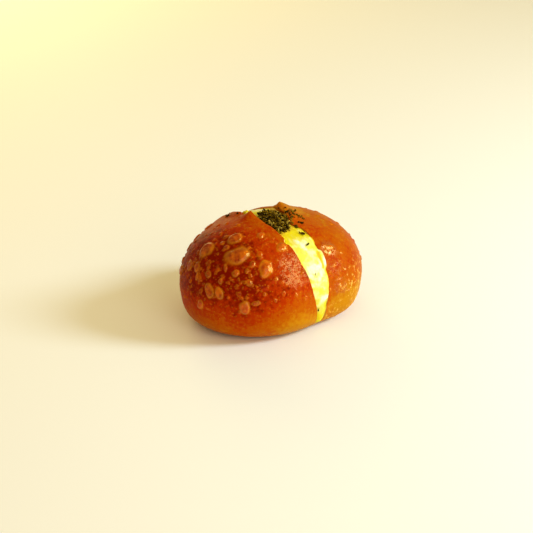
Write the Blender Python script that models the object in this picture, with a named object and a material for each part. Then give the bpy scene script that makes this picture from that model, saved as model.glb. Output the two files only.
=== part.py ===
"""Egg salad bun: a round glossy bread roll, cut down the middle from above almost to its base,
with egg salad filling the cut and a heap of dried parsley on its crest.

Axes: +X runs across the cut, +Y along it, +Z up. The bun rests on z = 0.
Lengths are in metres and angles in degrees.
"""
import math

import bmesh
import bpy
import numpy as np
from mathutils import Matrix, Vector

MM = 0.001

# ---- Bread: two half buns, left (-X) and right (+X), that meet in a web under the cut ----
LEFT = -1
RIGHT = 1
HALF_WIDTH = {LEFT: 44.8 * MM, RIGHT: 51.0 * MM}
HALF_LENGTH = {LEFT: 38.6 * MM, RIGHT: 44.8 * MM}
LENGTH_SHIFT = {LEFT: -1.2 * MM, RIGHT: 0.8 * MM}
LENGTH_SHIFT_FADE = 0.3
HEIGHT = {LEFT: 54.9 * MM, RIGHT: 50.6 * MM}
CUT_HALF_LENGTH = 39.2 * MM
BELLY_HEIGHT = 17.0 * MM
UNDERSIDE_DEPTH = 1.10 * BELLY_HEIGHT
PLAN_ROUNDNESS = 2.02
UPPER_ROUNDNESS = 1.92
LOWER_ROUNDNESS = 3.7
LIP_BLEND = 0.55
BUN_SEGMENTS = 20

# ---- The cut: its walls are flat and lean apart towards the top ----
CUT_FLOOR = 4.0 * MM
CUT_HALF_GAP_LOW = 1.3 * MM
CUT_HALF_GAP_TOP = 10.5 * MM
CUT_TOP = 55.0 * MM
WALL_SHAVE = 0.3 * MM
CUTTER_TOP = 75.0 * MM
CUTTER_HALF_LENGTH = 60.0 * MM

# ---- The right lip hangs over the filling: (along, length, reach, evenness) of each part ----
OVERHANGS = (
    (-8.0 * MM, 10.0 * MM, 3.0 * MM, 4.0),
    (-14.6 * MM, 4.0 * MM, 2.2 * MM, 2.0),
    (-24.0 * MM, 5.0 * MM, 1.0 * MM, 4.0),
)
OVERHANG_ALONG = (-30.0 * MM, 8.0 * MM)
OVERHANG_SEGMENTS = 18
# Depths under the crest at which the lip's edge and its root in the wall end
OVERHANG_DEPTHS = (0.5 * MM, 4.5 * MM)
OVERHANG_CLEARANCE = 0.6 * MM
RELIEF_PAST_WALL = 3.0 * MM

# ---- Lips of the cut: the crust curls up a little, with one raised tip on the right, and a
# peak and a low flat rise on the left. Places and reaches are across and along the cut. ----
LIP_START = (0.30, 0.85)
LIP_LIFT = 0.9 * MM
LIP_LIFT_WIDTH = 5.0 * MM
CURL_LIFT = 0.9 * MM
CURL_TOP_LIFT = 1.6 * MM
CURL_PLACE = -4.0 * MM
CURL_LENGTH = 9.0 * MM
CURL_WIDTH = 9.0 * MM
TIP_LIFT = 2.7 * MM
TIP_PLACE = (1.8 * MM, 1.6 * MM)
TIP_NEAR_REACH = (1.7 * MM, 6.0 * MM)
TIP_FAR_REACH = (10.5 * MM, 2.8 * MM)
TIP_SHARPNESS = 1.6
# (along, length, lift, evenness) of the left lip's rises
LIP_RISES = (
    (-0.7 * MM, 3.0 * MM, 2.4 * MM, 1.5),
    (10.5 * MM, 4.6 * MM, 0.7 * MM, 6.0),
)
LIP_RISE_WIDTH = 4.5 * MM
NOTCH_PLACE = (-9.3 * MM, -23.6 * MM, 47.6 * MM)
NOTCH_RADII = (1.3 * MM, 1.7 * MM, 2.2 * MM)

# ---- Crust blisters: (side, turn, rise, long radius, short radius, slant, height) ----
# turn goes round the half bun from -90 at the front of the cut to 90 at its back, and
# rise from 0 at the belly to 90 at the top.
MAIN_BLISTERS = (
    (LEFT, -16, 62, 4.6 * MM, 3.2 * MM, 60, 1.0 * MM),
    (LEFT, -26, 47, 5.6 * MM, 4.9 * MM, 36, 1.1 * MM),
    (LEFT, 10, 47, 4.5 * MM, 3.8 * MM, 80, 0.9 * MM),
    (LEFT, -52, 37, 4.6 * MM, 3.3 * MM, 66, 1.0 * MM),
    (LEFT, -8, 18, 4.3 * MM, 2.6 * MM, 116, 0.8 * MM),
    (LEFT, -16, 17, 3.2 * MM, 2.45 * MM, 117, 0.7 * MM),
    (LEFT, -33, 7, 3.6 * MM, 2.8 * MM, 94, 0.8 * MM),
    (LEFT, -78, 50, 3.1 * MM, 2.3 * MM, 6, 0.7 * MM),
    (LEFT, -12, 53, 1.7 * MM, 1.4 * MM, 162, 0.5 * MM),
    (LEFT, -56, 65, 2.1 * MM, 1.8 * MM, 42, 0.6 * MM),
    (LEFT, 18, 29, 2.7 * MM, 2.5 * MM, 130, 0.7 * MM),
    (LEFT, 9, 32, 2.8 * MM, 2.0 * MM, 113, 0.7 * MM),
    (LEFT, -5, 30, 2.2 * MM, 1.8 * MM, 110, 0.6 * MM),
    (LEFT, -27, 34, 1.9 * MM, 1.6 * MM, 24, 0.5 * MM),
    (LEFT, -16, 27, 1.6 * MM, 1.1 * MM, 89, 0.5 * MM),
    (LEFT, -41, 41, 1.9 * MM, 1.3 * MM, 58, 0.6 * MM),
    (LEFT, -37, 27, 1.9 * MM, 1.5 * MM, 99, 0.5 * MM),
    (LEFT, -1, 4, 3.3 * MM, 2.2 * MM, 60, 0.5 * MM),
    (LEFT, -41, 11, 2.2 * MM, 1.1 * MM, 8, 0.4 * MM),
    (LEFT, 31, 19, 3.6 * MM, 2.8 * MM, 90, 0.9 * MM),
    (RIGHT, -78, 40, 3.0 * MM, 1.8 * MM, 10, 0.5 * MM),
)
BACK_BLISTERS = 8
BACK_TURNS = (40, 75)
BACK_RISES = (5, 60)
BACK_RADII = (1.8 * MM, 3.6 * MM)
BACK_WIDTH_SHARE = 0.8
BACK_RIGHT_EVERY = 3
BLISTER_STEEPNESS = 0.25
BLISTER_SEGMENTS = 8
BLISTER_RINGS = 6

# ---- Egg salad: a wedge a little below the lips, swelling between them ----
TOUCH_GAP = 0.3 * MM
EGG_TOP = {LEFT: 53.2 * MM, RIGHT: 51.8 * MM}
EGG_RECESS = {LEFT: 0.9 * MM, RIGHT: 0.3 * MM}
EGG_BULGE = 1.0 * MM
EGG_CENTRE = 20.0 * MM
EGG_SEGMENTS = (6, 16, 16)
EGG_WHITE_PIECES = 40
EGG_WHITE_RADII = (1.2 * MM, 2.5 * MM)
EGG_WHITE_ROOM = 1.1
EGG_WHITE_WIDTH_SHARE = 0.75
EGG_WHITE_HALF_HEIGHT = 0.9 * MM
EGG_WHITE_SUNK = 0.3 * MM
EGG_STUB_PLACE = (-9.2 * MM, 3.9 * MM, 53.6 * MM)
EGG_STUB_RADII = (1.0 * MM, 1.6 * MM, 2.8 * MM)
# (across, angle) of the parsley specks on the egg
EGG_SPECKS = ((0.44, 123), (0.21, 133), (-0.34, 156), (-0.80, 192))
SPECK_LENGTH = 1.3 * MM
SPECK_LEAN = 0.3
SPECK_SPIN = 1.0

# ---- Dried parsley: a heap on the egg's crest, and loose flakes on the right crust ----
HEAP_CENTRE = (-2.6 * MM, -8.4 * MM)
HEAP_RADII = (7.6 * MM, 9.2 * MM)
HEAP_TURN = -27
HEAP_WALL = 8.9 * MM
HEAP_WALL_MARGIN = 2.0 * MM
HEAP_CLEARANCE = 1.3
HEAP_LIFT = 0.4 * MM
HEAP_THICKNESS = 1.3 * MM
HEAP_EDGE = 0.5 * MM
HEAP_SEGMENTS = (8, 10, 1)
HEAP_WAVES = ((3, 0.04, 0.6), (5, 0.03, 2.0))
HEAP_FLAKES = 70
HEAP_FLAKE_REACH = 0.94
FLAKE_LENGTHS = (1.4 * MM, 2.3 * MM)
FLAKE_LEAN = 0.6
FLAKE_WIDTH_SHARE = 0.55
FLAKE_TAPER = 0.35
FLAKE_THICKNESS = 0.4 * MM
FLAKE_CURL = 0.25
CRUST_FLAKE_LENGTH = 1.8 * MM
CRUST_FLAKE_LEAN = 0.5
# (across, along) of the loose flakes on the right crust, beside the heap
CRUST_FLAKES = (
    (12.1 * MM, -6.8 * MM), (13.8 * MM, -7.3 * MM), (13.0 * MM, -9.9 * MM),
    (14.0 * MM, -11.0 * MM), (14.9 * MM, -13.0 * MM), (10.3 * MM, -14.8 * MM),
    (8.9 * MM, -9.0 * MM), (11.2 * MM, -9.0 * MM), (9.6 * MM, -6.6 * MM),
    (12.9 * MM, -8.4 * MM), (10.6 * MM, -12.0 * MM),
)

# ---- The middle of the finished bun's plan, which the origin goes to ----
PLAN_MIDDLE = (2.81 * MM, 0.83 * MM)

CRUST_COLOUR = (0.42, 0.07, 0.004)
CRUST_ROUGHNESS = 0.3
EGG_COLOUR = (0.93, 0.90, 0.20)
EGG_ROUGHNESS = 0.45
PARSLEY_COLOUR = (0.06, 0.045, 0.008)
PARSLEY_ROUGHNESS = 0.8

RANDOM_SEED = 24
random_draw = np.random.default_rng(RANDOM_SEED)


# ---------------------------------------------------------------- scene and mesh helpers
def clear_scene():
    for old in list(bpy.data.objects):
        bpy.data.objects.remove(old, do_unlink=True)


def new_collection(name):
    collection = bpy.data.collections.new(name)
    bpy.context.scene.collection.children.link(collection)
    return collection


def food_material(name, colour, roughness):
    """A Principled material of one colour."""
    material = bpy.data.materials.new(name)
    material.use_nodes = True
    shader = material.node_tree.nodes["Principled BSDF"]
    shader.inputs["Base Color"].default_value = (*colour, 1.0)
    shader.inputs["Roughness"].default_value = roughness
    shader.inputs["Metallic"].default_value = 0.0
    material.diffuse_color = (*colour, 1.0)
    return material


def object_from_bmesh(form, name, collection):
    mesh = bpy.data.meshes.new(name)
    form.to_mesh(mesh)
    form.free()
    made = bpy.data.objects.new(name, mesh)
    collection.objects.link(made)
    return made


def grid_box(segments):
    """A cube from -1 to 1 whose edges along X, Y and Z are cut into the given numbers."""
    box = bmesh.new()
    bmesh.ops.create_cube(box, size=2.0)
    for axis, count in enumerate(segments):
        along = [e for e in box.edges if abs((e.verts[0].co - e.verts[1].co)[axis]) > 1e-6]
        if count > 1:
            bmesh.ops.subdivide_edges(box, edges=along, cuts=count - 1, use_grid_fill=True)
    return box


def reshape(form, rule):
    """Moves every vertex of a bmesh by a rule on the whole array of its coordinates."""
    before = np.array([vertex.co for vertex in form.verts])
    for vertex, place in zip(form.verts, rule(before)):
        vertex.co = place


def smooth_step(low, high, value):
    share = np.clip((value - low) / (high - low), 0.0, 1.0)
    return share * share * (3.0 - 2.0 * share)


def bump(value, place, width, power=2.0):
    """A hill of height 1 at the place, about two widths across."""
    return np.exp(-np.abs((value - place) / width) ** power)


def add_boolean(target, operation, other):
    """Adds a modifier that cuts away, or joins on, one object or a whole collection."""
    boolean = target.modifiers.new(operation.title(), "BOOLEAN")
    boolean.operation = operation
    boolean.solver = "EXACT"
    if isinstance(other, bpy.types.Collection):
        boolean.operand_type = "COLLECTION"
        boolean.collection = other
    else:
        boolean.object = other
    return boolean


def apply_modifiers(target):
    depsgraph = bpy.context.evaluated_depsgraph_get()
    applied = bpy.data.meshes.new_from_object(target.evaluated_get(depsgraph))
    target.modifiers.clear()
    target.data = applied


def face_islands(form):
    """The sets of faces of a bmesh that hang together."""
    left = set(form.faces)
    while left:
        island = {left.pop()}
        front = list(island)
        while front:
            near = {f for e in front.pop().edges for f in e.link_faces} & left
            left -= near
            island |= near
            front.extend(near)
        yield island


def keep_main_body(target):
    """Drops loose scraps, and fills hollows that fusing has sealed."""
    form = bmesh.new()
    form.from_mesh(target.data)
    islands = sorted(face_islands(form), key=len)
    lost = [face for island in islands[:-1] for face in island]
    bmesh.ops.delete(form, geom=lost, context="FACES")
    form.to_mesh(target.data)
    form.free()


def fuse(target, pieces):
    """Joins a collection of small pieces to a body with one Boolean, then removes them."""
    add_boolean(target, "UNION", pieces)
    apply_modifiers(target)
    keep_main_body(target)
    for piece in list(pieces.objects):
        bpy.data.objects.remove(piece, do_unlink=True)
    bpy.data.collections.remove(pieces)


# ---------------------------------------------------------------- the bread's form
def half_gap(height):
    """Half the width of the cut at a height."""
    share = height / CUT_TOP
    return CUT_HALF_GAP_LOW + (CUT_HALF_GAP_TOP - CUT_HALF_GAP_LOW) * share


def overhang(along):
    """How far the right lip hangs over the filling, at places along the cut."""
    return sum(reach * bump(along, place, length, evenness)
               for place, length, reach, evenness in OVERHANGS)


def right_crest(along):
    """Height of the right half's crest at the wall, before its lip curls up."""
    share = np.clip(np.abs(along) / CUT_HALF_LENGTH, 0.0, 1.0)
    arc = (1.0 - share ** UPPER_ROUNDNESS) ** (1.0 / UPPER_ROUNDNESS)
    return BELLY_HEIGHT + (HEIGHT[RIGHT] - BELLY_HEIGHT) * arc


def cutter_stations(cube):
    """Places along the cut from a gridded cube: even steps over the overhang, then two ends."""
    count = OVERHANG_SEGMENTS + 2
    number = np.round((cube[:, 1] + 1.0) / 2.0 * count)
    start, end = OVERHANG_ALONG
    along = start + (end - start) * (number - 1.0) / OVERHANG_SEGMENTS
    along = np.where(number < 1.0, -CUTTER_HALF_LENGTH, along)
    return np.where(number > count - 1.0, CUTTER_HALF_LENGTH, along)


def profile(side, rise, top=None):
    """The half bun's upright profile: its share of the plan radius, and its height."""
    top = HEIGHT[side] if top is None else top
    angle = np.abs(np.radians(rise))
    upper_share = np.cos(angle) ** (2.0 / UPPER_ROUNDNESS)
    upper_height = BELLY_HEIGHT + (top - BELLY_HEIGHT) * np.sin(angle) ** (2.0 / UPPER_ROUNDNESS)
    stretch = np.cos(angle) ** LOWER_ROUNDNESS + np.sin(angle) ** LOWER_ROUNDNESS
    stretch = stretch ** (-1.0 / LOWER_ROUNDNESS)
    lower_share = stretch * np.cos(angle)
    lower_height = BELLY_HEIGHT - UNDERSIDE_DEPTH * stretch * np.sin(angle)
    above = rise >= 0.0
    share = np.where(above, upper_share, lower_share)
    height = np.where(above, upper_height, np.maximum(lower_height, 0.0))
    return share, height


def lip_lift(side, across, along, height):
    """How far the crust curls up beside the cut; across is measured from the wall."""
    rising = (height - BELLY_HEIGHT) / (HEIGHT[side] - BELLY_HEIGHT)
    lift = LIP_LIFT * bump(across, 0.0, LIP_LIFT_WIDTH)
    if side == RIGHT:
        curl = CURL_LIFT + CURL_TOP_LIFT * bump(along, CURL_PLACE, CURL_LENGTH)
        lift = lift + curl * bump(across, 0.0, CURL_WIDTH)
        wide = np.where(across < TIP_PLACE[0], TIP_NEAR_REACH[0], TIP_FAR_REACH[0])
        long = np.where(along < TIP_PLACE[1], TIP_NEAR_REACH[1], TIP_FAR_REACH[1])
        tip = bump(across, TIP_PLACE[0], wide) * bump(along, TIP_PLACE[1], long, TIP_SHARPNESS)
        lift = lift + TIP_LIFT * tip
    else:
        for place, length, rise, evenness in LIP_RISES:
            crest = bump(along, place, length, evenness)
            lift = lift + rise * crest * bump(across, 0.0, LIP_RISE_WIDTH)
    return lift * smooth_step(*LIP_START, rising)


def crust(side, turn, rise):
    """Points of a half bun's crust, a superellipsoid cut at its wall and moved off the cut."""
    turn = np.asarray(turn, dtype=float)
    rise = np.asarray(rise, dtype=float)
    share, height = profile(side, rise)
    facing = np.cos(np.radians(turn))
    sideways = np.sin(np.radians(turn))
    blend = smooth_step(0.0, LIP_BLEND, facing)
    half_length = CUT_HALF_LENGTH + (HALF_LENGTH[side] - CUT_HALF_LENGTH) * blend
    radius = np.abs(facing / HALF_WIDTH[side]) ** PLAN_ROUNDNESS
    radius = (radius + np.abs(sideways / half_length) ** PLAN_ROUNDNESS) ** (-1.0 / PLAN_ROUNDNESS)
    across = share * radius * facing
    along = share * radius * sideways
    along = along + LENGTH_SHIFT[side] * blend * smooth_step(0.0, LENGTH_SHIFT_FADE, share)
    height = height + lip_lift(side, across, along, height)
    return np.stack([side * (across + half_gap(height)), along, height], axis=-1)


def over_plan(side, across, along):
    """The turn and rise of the crust over a point of the plan, measured from the cut's wall."""
    turn = math.atan2(along, across)
    radius = abs(math.cos(turn) / HALF_WIDTH[side]) ** PLAN_ROUNDNESS
    radius += abs(math.sin(turn) / CUT_HALF_LENGTH) ** PLAN_ROUNDNESS
    share = math.hypot(across, along) * radius ** (1.0 / PLAN_ROUNDNESS)
    return math.degrees(turn), math.degrees(math.acos(share ** (UPPER_ROUNDNESS / 2.0)))


def crust_frame(side, turn, rise):
    """A point of the crust with the directions of turn and rise there, and its normal."""
    step = 0.5
    place = Vector(crust(side, turn, rise))
    round_way = Vector(crust(side, turn + step, rise) - crust(side, turn - step, rise)).normalized()
    up_way = Vector(crust(side, turn, rise + step) - crust(side, turn, rise - step))
    normal = round_way.cross(up_way).normalized()
    if normal.x * side + normal.z < 0.0:
        normal.negate()
    up_way = normal.cross(round_way).normalized()
    return place, round_way, up_way, normal


def bun_rule(cube):
    """Turns a gridded cube into both half buns, with the middle row of vertices on the cut."""
    rows = cube[:, 0] * BUN_SEGMENTS / 2.0
    side = np.sign(np.round(rows))
    out = np.clip((np.abs(rows) - 1.0) / (BUN_SEGMENTS / 2.0 - 1.0), 0.0, 1.0)
    direction = np.stack([out, cube[:, 1], cube[:, 2]], axis=-1)
    direction = np.tan(direction * math.pi / 4.0)
    direction /= np.linalg.norm(direction, axis=1, keepdims=True)
    rise = np.degrees(np.arcsin(np.clip(direction[:, 2], -1.0, 1.0)))
    turn = np.degrees(np.arctan2(direction[:, 1], direction[:, 0]))
    left = crust(LEFT, turn, rise)
    right = crust(RIGHT, turn, rise)
    middle = 0.5 * (left + right)
    middle[:, 0] = 0.0
    which = side[:, None]
    return np.where(which < 0, left, np.where(which > 0, right, middle))


def merge_flat_base(form):
    """Makes one face of the many that lie flat on the ground."""
    low = [f for f in form.faces if all(abs(v.co.z) < 1e-7 for v in f.verts)]
    edges = [e for e in form.edges if all(f in low for f in e.link_faces)]
    bmesh.ops.dissolve_edges(form, edges=edges, use_verts=True)


# ---------------------------------------------------------------- small pieces
def blister(number, spec, collection):
    """A low dome, an ellipsoid half sunk in the crust."""
    side, turn, rise, long_radius, short_radius, slant, height = spec
    place, round_way, up_way, normal = crust_frame(side, turn, rise)
    angle = math.radians(slant)
    long_way = round_way * math.cos(angle) + up_way * math.sin(angle)
    short_way = normal.cross(long_way)
    dome = bmesh.new()
    bmesh.ops.create_uvsphere(dome, u_segments=BLISTER_SEGMENTS, v_segments=BLISTER_RINGS, radius=1.0)
    frame = Matrix((long_way * long_radius, short_way * short_radius, normal * height)).transposed()
    bmesh.ops.transform(dome, matrix=frame.to_4x4(), verts=dome.verts)
    bmesh.ops.translate(dome, vec=place, verts=dome.verts)
    return object_from_bmesh(dome, f"blister_{number:02d}", collection)


def back_blisters():
    """Blisters of the far side, which are drawn at random."""
    for number in range(BACK_BLISTERS):
        side = LEFT if number % BACK_RIGHT_EVERY else RIGHT
        turn = random_draw.uniform(*BACK_TURNS)
        rise = random_draw.uniform(*BACK_RISES)
        radius = random_draw.uniform(*BACK_RADII)
        slant = random_draw.uniform(0.0, 180.0)
        width = BACK_WIDTH_SHARE * radius
        yield (side, turn, rise, radius, width, slant, BLISTER_STEEPNESS * radius)


def flake(name, place, lean, spin, length, collection):
    """One dried leaf flake: a thin strip, curled along its length and leaning at random."""
    leaf = grid_box((2, 1, 1))
    width = length * FLAKE_WIDTH_SHARE

    def curl(points):
        taper = 1.0 - FLAKE_TAPER * np.abs(points[:, 0])
        rise = FLAKE_CURL * length * points[:, 0] ** 2
        return np.stack([
            points[:, 0] * length / 2.0,
            points[:, 1] * width / 2.0 * taper,
            points[:, 2] * FLAKE_THICKNESS / 2.0 + rise,
        ], axis=-1)

    reshape(leaf, curl)
    turned = Matrix.Rotation(spin, 4, "Z") @ Matrix.Rotation(lean, 4, "X")
    bmesh.ops.transform(leaf, matrix=Matrix.Translation(place) @ turned, verts=leaf.verts)
    bmesh.ops.triangulate(leaf, faces=leaf.faces)
    return object_from_bmesh(leaf, name, collection)


# ---------------------------------------------------------------- bun
def wedge_rule(cube):
    """Turns a gridded cube into the cut's wedge, which the right lip's overhang narrows."""
    along = cutter_stations(cube)
    level = np.round((cube[:, 2] + 1.0) * 1.5)
    crest = right_crest(along)
    heights = (CUT_FLOOR, crest - OVERHANG_DEPTHS[1], crest - OVERHANG_DEPTHS[0], CUTTER_TOP)
    height = np.choose(level.astype(int), heights)
    inward = overhang(along) * (level > 1.0) * (cube[:, 0] > 0.0)
    across = cube[:, 0] * (half_gap(height) + WALL_SHAVE - inward)
    return np.stack([across, along, height], axis=-1)


def build_bun(parts, cutters):
    form = grid_box((BUN_SEGMENTS, BUN_SEGMENTS, BUN_SEGMENTS))
    reshape(form, bun_rule)
    merge_flat_base(form)
    bun = object_from_bmesh(form, "bun", parts)
    bun.data.materials.append(food_material("baked_crust", CRUST_COLOUR, CRUST_ROUGHNESS))

    cut = grid_box((1, OVERHANG_SEGMENTS + 2, 3))
    reshape(cut, wedge_rule)
    add_boolean(bun, "DIFFERENCE", object_from_bmesh(cut, "cut_wedge", cutters))

    notch = bmesh.new()
    bmesh.ops.create_icosphere(notch, subdivisions=2, radius=1.0)
    reshape(notch, lambda points: points * NOTCH_RADII + NOTCH_PLACE)
    add_boolean(bun, "DIFFERENCE", object_from_bmesh(notch, "lip_notch", cutters))
    apply_modifiers(bun)

    raised = new_collection("crust_relief")
    specs = list(MAIN_BLISTERS) + list(back_blisters())
    for number, spec in enumerate(specs):
        blister(number, spec, raised)
    for number, (across, along) in enumerate(CRUST_FLAKES):
        past_wall = max(across - half_gap(HEIGHT[RIGHT]), 0.0)
        height = crust(RIGHT, *over_plan(RIGHT, past_wall, along))[2]
        place = Vector((across, along, height))
        lean = random_draw.uniform(-CRUST_FLAKE_LEAN, CRUST_FLAKE_LEAN)
        spin = random_draw.uniform(0.0, math.tau)
        flake(f"crust_flake_{number:02d}", place, lean, spin, CRUST_FLAKE_LENGTH, raised)
    fuse(bun, raised)
    return bun


# ---------------------------------------------------------------- egg salad
def between(sizes, across):
    """A size that changes evenly from the left wall, at -1, to the right wall, at 1."""
    return sizes[LEFT] + (sizes[RIGHT] - sizes[LEFT]) * (across + 1.0) / 2.0


def egg_point(across, angle, ring=1.0):
    """Points of the wedge of egg.

    across goes from -1 at the left wall to 1 at the right wall, angle turns in the cut's own
    plane from 0 at the back over 90 at the top to 180 at the front, and ring from 0 at the
    wedge's core to 1 at its skin.
    """
    rise = np.where(np.abs(angle) <= 90.0, angle, np.sign(angle) * 180.0 - angle)
    forward = np.where(np.abs(angle) <= 90.0, 1.0, -1.0)
    share, height = profile(LEFT, rise, between(EGG_TOP, across))
    along = forward * share * (CUT_HALF_LENGTH - between(EGG_RECESS, across))
    swell = EGG_BULGE * (1.0 - across ** 2)
    scale = ring * (1.0 + swell / np.hypot(along, height - EGG_CENTRE))
    height = np.maximum(EGG_CENTRE + scale * (height - EGG_CENTRE), CUT_FLOOR + TOUCH_GAP)
    return np.stack([across * (half_gap(height) - TOUCH_GAP), scale * along, height], axis=-1)


def egg_rule(box):
    """Turns a gridded box into the wedge: its Y-Z rings become rings of the wedge."""
    ring = np.maximum(np.abs(box[:, 1]), np.abs(box[:, 2]))
    angle = np.degrees(np.arctan2(box[:, 2], box[:, 1]))
    return egg_point(box[:, 0], angle, ring)


def egg_height(across, along):
    """Height of the crest over a point of the plan, in the wedge's upper part."""
    side = np.clip(across / CUT_HALF_GAP_TOP, -1.0, 1.0)
    share = np.abs(along) / (CUT_HALF_LENGTH - between(EGG_RECESS, side))
    arc = (1.0 - share ** UPPER_ROUNDNESS) ** (1.0 / UPPER_ROUNDNESS)
    swell = EGG_BULGE * (1.0 - side ** 2)
    return BELLY_HEIGHT + (between(EGG_TOP, side) - BELLY_HEIGHT) * arc + swell


def under_heap(place):
    """Whether a place on the crest is under the heap or close beside it."""
    turn = math.radians(HEAP_TURN)
    across = place[0] - HEAP_CENTRE[0]
    along = place[1] - HEAP_CENTRE[1]
    reach = math.hypot((across * math.cos(turn) + along * math.sin(turn)) / HEAP_RADII[0],
                       (along * math.cos(turn) - across * math.sin(turn)) / HEAP_RADII[1])
    return reach < HEAP_CLEARANCE and place[2] > CUT_TOP / 2.0


def egg_white_piece(number, collection):
    """A chopped piece of egg white, sunk in the crest; none where the heap lies."""
    radius = random_draw.uniform(*EGG_WHITE_RADII)
    angle = random_draw.uniform(0.0, 180.0)
    side = random_draw.uniform(-1.0, 1.0)
    spin = random_draw.uniform(0.0, math.tau)
    lean = random_draw.uniform(0.0, math.pi)
    place = Vector(egg_point(side, angle))
    free = half_gap(place.z) - TOUCH_GAP - EGG_WHITE_ROOM * radius
    if free < 0.0 or under_heap(place):
        return
    place = Vector(egg_point(side * free / half_gap(place.z), angle))
    outward = (place - Vector((0.0, 0.0, EGG_CENTRE))).normalized()
    piece = bmesh.new()
    bmesh.ops.create_icosphere(piece, subdivisions=1, radius=1.0)
    bmesh.ops.rotate(piece, matrix=Matrix.Rotation(lean, 3, "X"), verts=piece.verts)
    half_size = (radius, EGG_WHITE_WIDTH_SHARE * radius, EGG_WHITE_HALF_HEIGHT)
    bmesh.ops.scale(piece, vec=half_size, verts=piece.verts)
    laid = outward.to_track_quat("Z", "Y").to_matrix() @ Matrix.Rotation(spin, 3, "Z")
    bmesh.ops.rotate(piece, matrix=laid, verts=piece.verts)
    bmesh.ops.translate(piece, vec=place - outward * EGG_WHITE_SUNK, verts=piece.verts)
    object_from_bmesh(piece, f"egg_white_{number:02d}", collection)


def egg_stub(collection):
    """A stub of egg that stands up beside the left lip, behind its peak."""
    stub = bmesh.new()
    bmesh.ops.create_icosphere(stub, subdivisions=1, radius=1.0)
    reshape(stub, lambda points: points * EGG_STUB_RADII + EGG_STUB_PLACE)
    object_from_bmesh(stub, "egg_stub", collection)


def relief_rule(cube):
    """Turns a gridded cube into the room that the right lip's overhang takes up."""
    along = cutter_stations(cube)
    crest = right_crest(along)
    column = np.round(cube[:, 0] + 1.0)
    depth = np.where(column < 1.0, OVERHANG_DEPTHS[0], OVERHANG_DEPTHS[1]) + OVERHANG_CLEARANCE
    height = np.where(cube[:, 2] > 0.0, CUTTER_TOP, crest - depth)
    wall = half_gap(height) + WALL_SHAVE
    inward = overhang(along) + OVERHANG_CLEARANCE
    across = np.choose(column.astype(int), (wall - inward, wall, wall + RELIEF_PAST_WALL))
    return np.stack([across, along, height], axis=-1)


def build_egg(parts, cutters):
    form = grid_box(EGG_SEGMENTS)
    reshape(form, egg_rule)
    egg = object_from_bmesh(form, "egg_filling", parts)
    egg.data.materials.append(food_material("egg_salad", EGG_COLOUR, EGG_ROUGHNESS))
    chopped = new_collection("chopped_egg_white")
    for number in range(EGG_WHITE_PIECES):
        egg_white_piece(number, chopped)
    egg_stub(chopped)
    for number, (across, angle) in enumerate(EGG_SPECKS):
        place = Vector(egg_point(across, angle))
        flake(f"speck_{number}", place, SPECK_LEAN, SPECK_SPIN + number, SPECK_LENGTH, chopped)
    fuse(egg, chopped)
    room = grid_box((2, OVERHANG_SEGMENTS + 2, 1))
    reshape(room, relief_rule)
    add_boolean(egg, "DIFFERENCE", object_from_bmesh(room, "lip_room", cutters))
    apply_modifiers(egg)
    keep_main_body(egg)
    return egg


# ---------------------------------------------------------------- parsley
def heap_place(across, along):
    """A point of the plan over a square of -1 to 1, rounded to the heap's uneven outline.

    The square becomes a disc, which is stretched, made uneven and turned. What would come too
    near the left wall is pressed together within a margin before it.
    """
    disc_x = across * np.sqrt(1.0 - along ** 2 / 2.0)
    disc_y = along * np.sqrt(1.0 - across ** 2 / 2.0)
    angle = np.arctan2(disc_y, disc_x)
    uneven = 1.0 + sum(size * np.sin(waves * angle + start) for waves, size, start in HEAP_WAVES)
    long_x = HEAP_RADII[0] * disc_x * uneven
    long_y = HEAP_RADII[1] * disc_y * uneven
    turn = math.radians(HEAP_TURN)
    place_x = HEAP_CENTRE[0] + long_x * math.cos(turn) - long_y * math.sin(turn)
    place_y = HEAP_CENTRE[1] + long_x * math.sin(turn) + long_y * math.cos(turn)
    room = (place_x + HEAP_WALL) / HEAP_WALL_MARGIN
    pressed = HEAP_WALL_MARGIN * np.exp(np.minimum(room, 1.0) - 1.0) - HEAP_WALL
    return np.where(room < 1.0, pressed, place_x), place_y, np.hypot(disc_x, disc_y)


def heap_rule(box):
    """Turns a gridded box into the heap's core, which follows the crest under it."""
    place_x, place_y, reach = heap_place(box[:, 0], box[:, 1])
    height = egg_height(place_x, place_y) + TOUCH_GAP + HEAP_LIFT
    thickness = HEAP_EDGE + HEAP_THICKNESS * (1.0 - reach ** 2)
    return np.stack([place_x, place_y, height + (box[:, 2] + 1.0) / 2.0 * thickness], axis=-1)


def build_parsley(parts):
    form = grid_box(HEAP_SEGMENTS)
    reshape(form, heap_rule)
    heap = object_from_bmesh(form, "parsley", parts)
    heap.data.materials.append(food_material("dried_parsley", PARSLEY_COLOUR, PARSLEY_ROUGHNESS))
    loose = new_collection("loose_flakes")
    for number in range(HEAP_FLAKES):
        across, along = HEAP_FLAKE_REACH * random_draw.uniform(-1.0, 1.0, 2)
        place_x, place_y, reach = heap_place(across, along)
        height = egg_height(place_x, place_y) + TOUCH_GAP + HEAP_LIFT
        height += HEAP_EDGE + HEAP_THICKNESS * (1.0 - reach ** 2)
        lean = random_draw.uniform(-FLAKE_LEAN, FLAKE_LEAN)
        spin = random_draw.uniform(0.0, math.tau)
        length = random_draw.uniform(*FLAKE_LENGTHS)
        flake(f"flake_{number:03d}", Vector((place_x, place_y, height)), lean, spin, length, loose)
    fuse(heap, loose)
    return heap


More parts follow.
